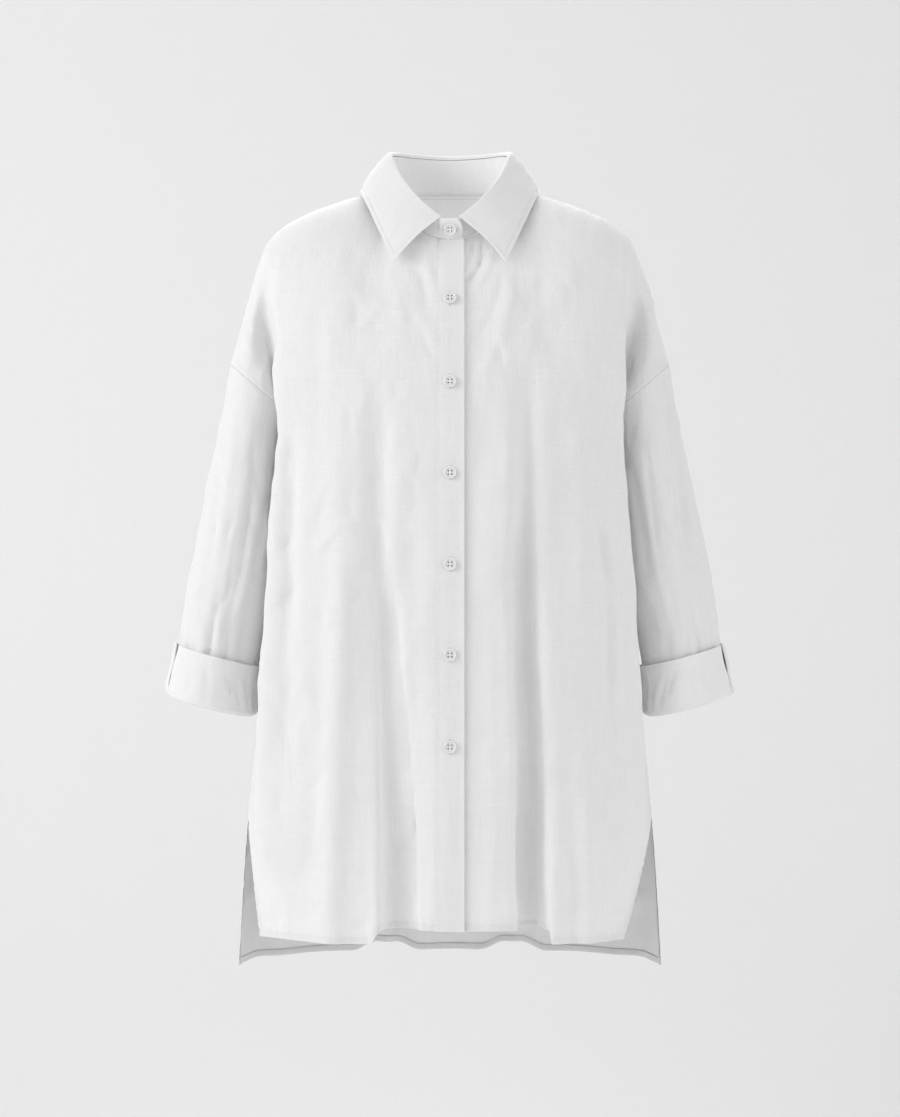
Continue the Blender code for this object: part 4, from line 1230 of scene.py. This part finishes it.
def make_back():
    base = back_whole()
    normals = outward(base, grid_normals(base))
    half = base.shape[1] // 2
    relief = back_relief(base)
    for columns, step in ((slice(half, None), 1), (slice(half, None, -1), -1)):
        part = base[:, columns]
        relief[:, columns] *= seam_fade(part)
        relief[:, columns] += edge_relief(part, SEEDS["back edges"] + step)
    points, facing = raised(base, normals, relief)
    # The back neck stitches take the dark thread: painted shade for the shadow line of the neck seam
    inner = []
    for distance in NECK_STITCHES:
        line, out = line_inside(points, facing, "top", distance)
        neck = np.abs(line[:, 0]) < NECK_HALF_WIDTH * 0.95
        inner += stitches(line[neck], -out[neck], LAYER / 2)
    tapes = [("back_hem", "foot", WHOLE, HEM_DEPTH, HEM_TAPE)]
    seams = [("foot", WHOLE, HEM_STITCH, lift) for lift in (-LAYER / 2 - HEM_TAPE, LAYER / 2)]
    for edge, hand in (("start", "right"), ("end", "left")):
        tapes.append((f"back_slit_hem_{hand}", edge, SLIT_PART, SLIT_DEPTH, SLIT_TAPE))
        seams += [(edge, ARM_PART, ARMHOLE_STITCH, LAYER / 2), (edge, SLIT_PART, SLIT_STITCH, LAYER / 2)]
    make_cloth("back", (points, facing), LAYER, tapes, seams, upright=True,
               more=(("back_neck_painted_shade_stitching", inner, PAINTED_SHADE_THREAD),))


def make_placket():
    """The band down the right front: stitched flat on its left, folded and proud on its right."""
    u_line, grid = body_grid("front", -1, panel_rows())
    low, high = u_at_x(u_line, grid, OVERLAP), u_at_x(u_line, grid, PLACKET_LEFT)
    share = np.linspace(0, 1, PLACKET_COLUMNS + 1)
    base = columns_at(u_line, grid, low[:, None] * (1 - share) + high[:, None] * share)
    normals = outward(base, grid_normals(base))
    x = base[..., 0]
    lift = mix(LAYER / 2 + BAND / 2, LAYER / 2, ease(-x, PROUD_UP_TO, -PLACKET_LEFT)) + PLACKET_GAP
    edge_fold = EDGE_FOLD * ease(x, *EDGE_FOLD_FROM)
    relief = front_relief(base) + lift + edge_fold + dip(x, PLACKET_LEFT + PLACKET_DIP, STITCH_DIP)
    return make_cloth("placket", raised(base, normals, relief), PLACKET_WALL, bevel=PLACKET_RIM, upright=True,
                      seams=[("end", WHOLE, PLACKET_STITCH, PLACKET_WALL / 2)],
                      rests_on=["front_right_cloth"])


# Sleeves and cuffs

def ring_points(side, angles, drop, reach, half, front, back, tilt):
    depth = np.where(np.sin(angles) >= 0, front, back)
    near = np.exp(-((np.degrees(angles) % 360 - 180) / INNER_SPREAD) ** 2)
    x = reach + half * np.cos(angles) - INNER_FULLNESS * near * ease(drop, *INNER_FROM)
    z = -drop + half * np.tan(np.radians(tilt)) * np.cos(angles)
    return np.stack([side * x, -depth * np.sin(angles), z], axis=-1)


def ring_relief(table, angles, drops, radius):
    """Creases round a sleeve or cuff, from a table in degrees and drops, and the flat map they lie on."""
    across = angles * radius + np.zeros_like(drops)[:, None]
    down = np.zeros_like(across) + drops[:, None]
    rows = [(math.radians(a0) * radius, d0, math.radians(a1) * radius, d1, 0.001, half, height, sharp)
            for a0, d0, a1, d1, half, height, sharp in table]
    return crease_relief(rows, across, down), across, down


def make_sleeve(side, name):
    angles = np.linspace(0, 2 * math.pi, SLEEVE_COLUMNS, endpoint=False)
    first, last = SLEEVE_SECTIONS[0][0], SLEEVE_SECTIONS[-1][0]
    near_top = [first + 0.001, first + 0.0022]
    drops = np.unique(np.concatenate([np.linspace(first, last, SLEEVE_ROWS + 1), near_top]))
    columns = [table_curve(SLEEVE_SECTIONS, column, drops) for column in range(1, 6)]
    rings = np.array([ring_points(side, angles, drop, *sizes) for drop, *sizes in zip(drops, *columns)])
    normals = outward(rings, grid_normals(rings, closed=True), side * ARMHOLE_X)
    relief, across, down = ring_relief(SLEEVE_CREASES[side], angles, drops, SLEEVE_RADIUS)
    loop = np.abs(across - across.max() / 2)
    relief += rumple(loop, down, SEEDS["sleeve"] + 3 * side) * 0.8
    relief += scattered(across, down, SLEEVE_SHORT, SEEDS["sleeve creases"] + side)
    from_top = lengths_along(rings, 0)
    relief *= ease(from_top, 0.0, SEAM_FADE)
    relief += puckers(from_top, loop, SEEDS["sleeve top"] + side) * ease(from_top, 0.0, 0.004)
    relief -= SEAM_DIP * np.exp(-from_top / SEAM_REACH)
    relief *= ease(from_top[-1:] - from_top, 0.0, 0.004)
    make_cloth(name, raised(rings, normals, relief, closed=True), LAYER, closed=True, rests_on=["back_cloth"])


def make_cuff(side, name):
    """The turned-up cuff: a wide band outside, its fold at the foot, and the vent at the outer side."""
    at = np.concatenate([np.linspace(0, 3, CUFF_ROWS), np.linspace(3, 6, CUFF_TURN_ROWS)[1:]])
    numbered = [(k, *row) for k, row in enumerate(CUFF_SECTIONS)]
    rows, angle_rows = [], []
    vent = math.radians(VENT_ANGLE)
    for k in at:
        drop, reach, half, front, back = (float(table_curve(numbered, column, k)) for column in range(1, 6))
        gap = mix(VENT_TOP, VENT_FOOT, min(k / 3, 1.0)) / half / 2
        angles = np.linspace(vent + gap, vent + 2 * math.pi - gap, CUFF_COLUMNS + 1)
        ring = ring_points(side, angles, drop, reach, half, front, back, CUFF_TILT)
        corner = np.exp(-((np.degrees(angles) - CORNER_AT) / CORNER_SPREAD) ** 2)
        ring[:, 2] += CORNER_RISE * corner * ease(k, 1.0, 4.0)
        rows.append(ring)
        angle_rows.append(angles)
    base = np.array(rows)
    normals = grid_normals(base)
    away = base - base.mean(axis=1, keepdims=True)
    if np.sum(normals[:20] * away[:20]) < 0:
        normals = -normals
    drops = np.interp(at, range(len(CUFF_SECTIONS)), [row[0] for row in CUFF_SECTIONS])
    creases, across, down = ring_relief(CUFF_CREASES, np.array(angle_rows), drops, CUFF_RADIUS)
    outside = (at <= 3.2).astype(float)[:, None]
    relief = (creases + rumple(across, down * 1.6, SEEDS["cuff"] + side) * 0.8) * outside
    far = edge_distances(base)
    relief += puckers(far["top"], far["start"], SEEDS["cuff top"] + side) * 0.5 * ease(far["top"], 0.0, 0.003)
    make_cloth(name, raised(base, normals, relief), CUFF, bevel=RIM, held="folded",
               rests_on=[f"sleeve_{name.split('_')[1]}_cloth"])


# Collar

def round_neck(first, degrees):
    """Points round the neck from the collar's table, left where degrees are above 0."""
    rows = [(row[0], row[first], row[first + 1], row[first + 2]) for row in COLLAR_SECTIONS]
    mirrored = [(-angle, -reach, *rest) for angle, reach, *rest in rows[:0:-1]]
    return np.stack([table_curve(mirrored + rows, axis, degrees) for axis in (1, 2, 3)], axis=-1)


def neck_ring(degrees):
    from_front = np.radians(180 - np.abs(degrees))
    side = np.where(degrees < 0, -1.0, 1.0)
    front = neckline("front", from_front / (math.pi / 2))
    back = neckline("back", (math.pi - from_front) / (math.pi / 2))
    ahead = from_front < math.pi / 2
    reach, depth, height = (np.where(ahead, f, b) for f, b in zip(front, back))
    return np.stack([side * reach, np.where(ahead, -depth, depth), height], axis=-1)


def make_collar():
    """The fall: it rises from the stand, turns over the roll line and lies on the shoulders."""
    limit = COLLAR_SECTIONS[-1][0]
    degrees = np.linspace(-limit, limit, COLLAR_COLUMNS + 1)
    roll, edge = round_neck(1, degrees), round_neck(4, degrees)
    out = unit((edge - roll) * (1, 1, 0))
    up = np.array([0.0, 0.0, 1.0])
    size = (1 - ROLL_NARROWING * ease(np.abs(degrees), *ROLL_FRONT))[:, None]
    start = roll + up * ROLL_START
    turn = start + (up * ROLL_RISE + out * ROLL_OUT) * size
    rows = []
    for k in range(7):
        angle = math.pi / 2 * k / ROLL_STEPS
        over = out * ROLL_OUT * ROLL_OVER[0] * (1 - math.cos(angle))
        rows.append(start + (up * ROLL_RISE * ROLL_OVER[1] * math.sin(angle) + over) * size)
    for t in np.linspace(0, 1, COLLAR_ROWS + 1):
        rows.append(mix(turn, edge, t) + out * COLLAR_BULGE * math.sin(math.pi * t))
    base = np.array(rows)
    normals = grid_normals(base)
    if normals[-1, COLLAR_COLUMNS // 2, 1] < 0:
        normals = -normals
    far = edge_distances(base)
    inside = np.minimum(np.minimum(far["foot"], far["start"]), far["end"])
    along = far["start"]
    relief = dip(inside, COLLAR_STITCH, *COLLAR_DIP)
    relief += COLLAR_RIM_RISE * (1 - ease(inside, 0.002, COLLAR_STITCH))
    relief += puckers(inside, along, SEEDS["collar edge"]) * 0.35
    relief += rumple(along, far["foot"], SEEDS["collar"]) * 0.5 * ease(far["top"], 0.006, 0.02)
    points, facing = raised(base, normals, relief)
    sewn = []
    for edge_name, from_start in (("foot", COLLAR_STITCH), ("start", COLLAR_CORNER), ("end", COLLAR_CORNER)):
        line, faces = line_inside(points, facing, edge_name, COLLAR_STITCH)
        run = lengths_along(line[None], 1)[0]
        keep = (run > from_start) & (run < run[-1] - COLLAR_STITCH)
        sewn += stitches(line[keep], faces[keep], BAND / 2)
    make_cloth("collar", (points, facing), BAND, sewn=sewn, bevel=RIM, held="folded",
               rests_on=["collar_stand_cloth"])


def stand_points():
    degrees = np.linspace(-STAND_END, STAND_END, STAND_COLUMNS + 1)
    foot = neck_ring(degrees)
    top = round_neck(1, degrees)
    ahead = np.abs(degrees) > COLLAR_SECTIONS[-1][0]
    top[ahead, 0] = foot[ahead, 0]
    start, end = STAND_END_ROUND
    rounding = np.clip((np.abs(degrees) - start) / (end - start), 0, 1)
    top[:, 2] -= STAND_END_DROP * (1 - np.sqrt(1 - rounding ** 2))
    lap = STAND_LAP * ease(np.abs(degrees), *STAND_LAP_PART) * -np.sign(degrees)
    away = unit(foot * (1, 1, 0))
    up = unit(top - foot)
    over_seam = STAND_OVER_SEAM * ease(degrees, *STAND_OVER_PART)
    low = foot + up * (STAND_FOOT - over_seam)[:, None]
    high = top - up * STAND_TOP
    return np.array([mix(low, high, k / STAND_ROWS) + away * lap[:, None] for k in range(STAND_ROWS + 1)])


def make_stand():
    base = stand_points()
    normals = outward(base, grid_normals(base))
    far = edge_distances(base)
    relief = puckers(far["foot"], far["start"], SEEDS["stand"]) * 0.4 + dip(far["foot"], 0.002, 0.0003)
    return make_cloth("collar_stand", raised(base, normals, relief), BAND, bevel=RIM, rests_on=["back_cloth"],
                      seams=[("top", WHOLE, STAND_STITCH, lift) for lift in (BAND / 2, -BAND / 2)])


# Buttons

def button_mesh():
    """A turned four-hole button: raised rim, dished face, holes cut through, their walls marked for a second
    material, dark as painted shade.
    """
    turns = 48
    rings = BUTTON_PROFILE[1:-1]
    points = [(0.0, 0.0, BUTTON_PROFILE[0][1] * BUTTON_THICKNESS)]
    for radius, height in rings:
        for k in range(turns):
            angle = 2 * math.pi * k / turns
            points.append((radius * BUTTON_RADIUS * math.cos(angle), radius * BUTTON_RADIUS * math.sin(angle),
                           height * BUTTON_THICKNESS))
    points.append((0.0, 0.0, 0.0))
    faces = []
    for k in range(turns):
        nxt = (k + 1) % turns
        faces.append((0, 1 + k, 1 + nxt))
        for r in range(len(rings) - 1):
            a, b = 1 + r * turns, 1 + (r + 1) * turns
            faces.append((a + k, b + k, b + nxt, a + nxt))
        last = 1 + (len(rings) - 1) * turns
        faces.append((len(points) - 1, last + nxt, last + k))
    body = placed("button_body", mesh_of("button", points, faces))
    cutters = []
    for k in range(4):
        angle = math.pi / 4 + k * math.pi / 2
        place = (HOLE_PLACE * math.cos(angle), HOLE_PLACE * math.sin(angle), BUTTON_THICKNESS / 2)
        bpy.ops.mesh.primitive_cylinder_add(vertices=16, radius=HOLE_RADIUS, depth=BUTTON_THICKNESS * 3,
                                            location=place)
        cutters.append(bpy.context.object)
        cut = body.modifiers.new("hole", "BOOLEAN")
        cut.operation = "DIFFERENCE"
        cut.object = cutters[-1]
    shaped = bpy.data.meshes.new_from_object(body.evaluated_get(bpy.context.evaluated_depsgraph_get()))
    for old in (body, *cutters):
        bpy.data.objects.remove(old, do_unlink=True)
    shaped.shade_smooth()
    shaped.set_sharp_from_angle(angle=BUTTON_SHARP)
    # The walls of the holes take the second material: painted shade inside the holes
    for polygon in shaped.polygons:
        x, y = abs(polygon.center.x), abs(polygon.center.y)
        if math.hypot(x - HOLE_CORNER, y - HOLE_CORNER) < HOLE_RADIUS * 1.02 and abs(polygon.normal.z) < 0.5:
            polygon.material_index = 1
    return shaped


def surface_at(points, facing, x, z):
    """The place and the facing of the cloth at a given x and height, on its front side."""
    gap = (points[..., 0] - x) ** 2 + (points[..., 2] - z) ** 2
    near = gap < max(NEAR_SURFACE ** 2, 1.5 * gap[points[..., 1] < 0].min())
    row, column = np.unravel_index(np.argmin(np.where(near, points[..., 1], 1.0)), gap.shape)
    place = points[row, column].copy()
    out = facing[row, column].copy()
    place[0], place[2] = x, z
    return place, out


def make_buttons(placket, stand):
    shape = button_mesh()
    over_lap = tuple(part[:, :STAND_LAP_COLUMNS] for part in stand)
    for number, drop in enumerate(BUTTON_DROPS, start=1):
        if number == 1:
            (points, facing), wall, lift, lean = over_lap, BAND / 2, NECK_BUTTON_LIFT, NECK_BUTTON_LEAN
        else:
            (points, facing), wall, lift, lean = placket, PLACKET_WALL / 2, 0.0, 1.0
        seat, out = surface_at(points, facing, 0.0, -drop)
        out = unit(np.array([0.0, out[1], out[2] * lean]))
        button = placed(f"button_{number}_turned", shape.copy())
        button.location = seat + out * (wall + lift + BUTTON_LIFT)
        button.rotation_euler = (math.atan2(-out[1], out[2]), 0, 0)
        dress(button, BUTTON_FINISH, f"button_{number}")
        # The second slot darkens the hole walls: painted shade
        button.data.materials.append(PAINTED_SHADE_HOLE_FINISH)
        dress(button_thread(number, seat, out, wall + lift), THREAD_FINISH)
        dress(buttonhole_stitching(number, points, facing, seat, wall), THREAD_FINISH)


def button_thread(number, seat, out, wall):
    """The shank under a button and the two bars of thread over its dished face."""
    over = np.array([1.0, 0.0, 0.0])
    along = np.cross(out, over)
    face = BUTTON_LIFT + BUTTON_THICKNESS * BUTTON_DISH + wall
    parts = []
    for x in (-HOLE_CORNER, HOLE_CORNER):
        ends = [seat + over * x + along * (share * HOLE_CORNER) + out * (face + rise)
                for share, rise in BAR]
        parts.append(tube(np.array(ends), BAR_RADIUS))
    shank = [seat + out * (wall + BUTTON_LIFT * k) for k in SHANK]
    parts.append(tube(np.array(shank), SHANK_RADIUS))
    return joined_mesh(f"button_{number}_thread", parts)


def tube(path, radius, sides=6):
    """A closed round strand along a path."""
    parts_points, faces = [], []
    for k, place in enumerate(path):
        ahead = unit(path[min(k + 1, len(path) - 1)] - path[max(k - 1, 0)])
        aside = unit(np.cross(ahead, (0.31, 0.62, 0.72)))
        above = np.cross(ahead, aside)
        for s in range(sides):
            angle = 2 * math.pi * s / sides
            parts_points.append(place + (aside * math.cos(angle) + above * math.sin(angle)) * radius)
    for k in range(len(path) - 1):
        for s in range(sides):
            a, b = k * sides + s, k * sides + (s + 1) % sides
            faces.append((a, b, b + sides, a + sides))
    faces.append(tuple(range(sides))[::-1])
    faces.append(tuple((len(path) - 1) * sides + s for s in range(sides)))
    return np.array(parts_points), faces


def buttonhole_stitching(number, points, facing, seat, wall):
    """Close stitches on both sides of a buttonhole; the first one lies across, the others upright."""
    upright = number > 1
    parts = []
    for share in np.linspace(-0.5, 0.5, BUTTONHOLE_STITCHES):
        step = share * BUTTONHOLE_LENGTH
        x, z = (0.0, seat[2] + step) if upright else (step, seat[2])
        place, face = surface_at(points, facing, x, z)
        if upright:
            place[1] = np.interp(z, *height_line(points))
        aside = np.array([1.0, 0.0, 0.0]) if upright else unit(np.cross(face, (1.0, 0.0, 0.0)))
        for sign in (-1, 1):
            a = place + aside * sign * BUTTONHOLE_SLIT + face * (wall + BUTTONHOLE_LEAN)
            b = place + aside * sign * BUTTONHOLE_HALF + face * (wall - BUTTONHOLE_LEAN)
            bowed = np.array([a, (a + b) / 2 + face * BUTTONHOLE_BOW, b])
            parts.append(tube(bowed, BUTTONHOLE_THREAD, sides=5))
    return joined_mesh(f"buttonhole_{number}_stitching", parts)


def height_line(points):
    """Heights and depths down the middle of the placket, for reading y at a height."""
    column = np.argmin(np.abs(points[len(points) // 2, :, 0]))
    order = np.argsort(points[:, column, 2])
    return points[order, column, 2], points[order, column, 1]


# Studio

def make_studio():
    camera = bpy.data.cameras.new("camera")
    camera.sensor_width = SENSOR
    camera.lens = SENSOR * VIEW_DISTANCE / FRAME_HEIGHT
    eye = placed("camera", camera)
    eye.location = (0.0, -VIEW_DISTANCE, VIEW_HEIGHT)
    eye.rotation_euler = (math.pi / 2, 0.0, 0.0)
    bpy.context.scene.camera = eye

    for name, place, aim, size, power, spread in LIGHTS:
        lamp = bpy.data.lights.new(name, "AREA")
        lamp.shape = "SQUARE"
        lamp.size = size
        lamp.energy = power
        lamp.spread = math.radians(spread)
        stand = placed(name, lamp)
        stand.location = place
        stand.rotation_euler = (Vector(aim) - Vector(place)).to_track_quat("-Z", "Y").to_euler()
        stand.visible_camera = False

    world = bpy.data.worlds.new("studio")
    world.use_nodes = True
    sky = world.node_tree.nodes["Background"]
    sky.inputs["Color"].default_value = (1.0, 1.0, 1.0, 1.0)
    sky.inputs["Strength"].default_value = WORLD_STRENGTH
    bpy.context.scene.world = world
    bpy.context.scene.view_settings.view_transform = "Standard"
    make_backdrop()


def make_backdrop():
    """A pale floor that sweeps up into the wall behind; its rear is clear, for a look from behind."""
    start = WALL_AT - WALL_BEND
    profile = [(-BACKDROP_HALF, FLOOR_AT), (start, FLOOR_AT)]
    profile += [(start + WALL_BEND * math.sin(a), FLOOR_AT + WALL_BEND * (1 - math.cos(a)))
                for a in np.linspace(0, math.pi / 2, 24)[1:]]
    profile.append((WALL_AT, WALL_TOP))
    points = [(x, y, z) for y, z in profile for x in (-BACKDROP_HALF, BACKDROP_HALF)]
    faces = [(2 * k, 2 * k + 1, 2 * k + 3, 2 * k + 2) for k in range(len(profile) - 1)]
    backdrop = placed("backdrop", mesh_of("backdrop", points, faces))
    paper, tree, shader = new_material("backdrop paper", {"Base Color": PAPER_COLOUR, "Roughness": 0.95})
    rear = tree.nodes.new("ShaderNodeNewGeometry")
    clear = tree.nodes.new("ShaderNodeBsdfTransparent")
    either = tree.nodes.new("ShaderNodeMixShader")
    tree.links.new(rear.outputs["Backfacing"], either.inputs["Fac"])
    tree.links.new(shader.outputs["BSDF"], either.inputs[1])
    tree.links.new(clear.outputs["BSDF"], either.inputs[2])
    tree.links.new(either.outputs["Shader"], tree.nodes["Material Output"].inputs["Surface"])
    backdrop.data.materials.append(paper)
    backdrop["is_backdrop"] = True


make_studio()
make_front(-1, "front_right")
make_front(1, "front_left")
make_back()
placket_form = make_placket()
make_sleeve(-1, "sleeve_right")
make_sleeve(1, "sleeve_left")
make_cuff(-1, "cuff_right")
make_cuff(1, "cuff_left")
stand_form = make_stand()
make_collar()
make_buttons(placket_form, stand_form)

boxes = {"cad": CAD_BOX, "visual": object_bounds()}
{name: [list(corner) for corner in box] for name, box in boxes.items()}
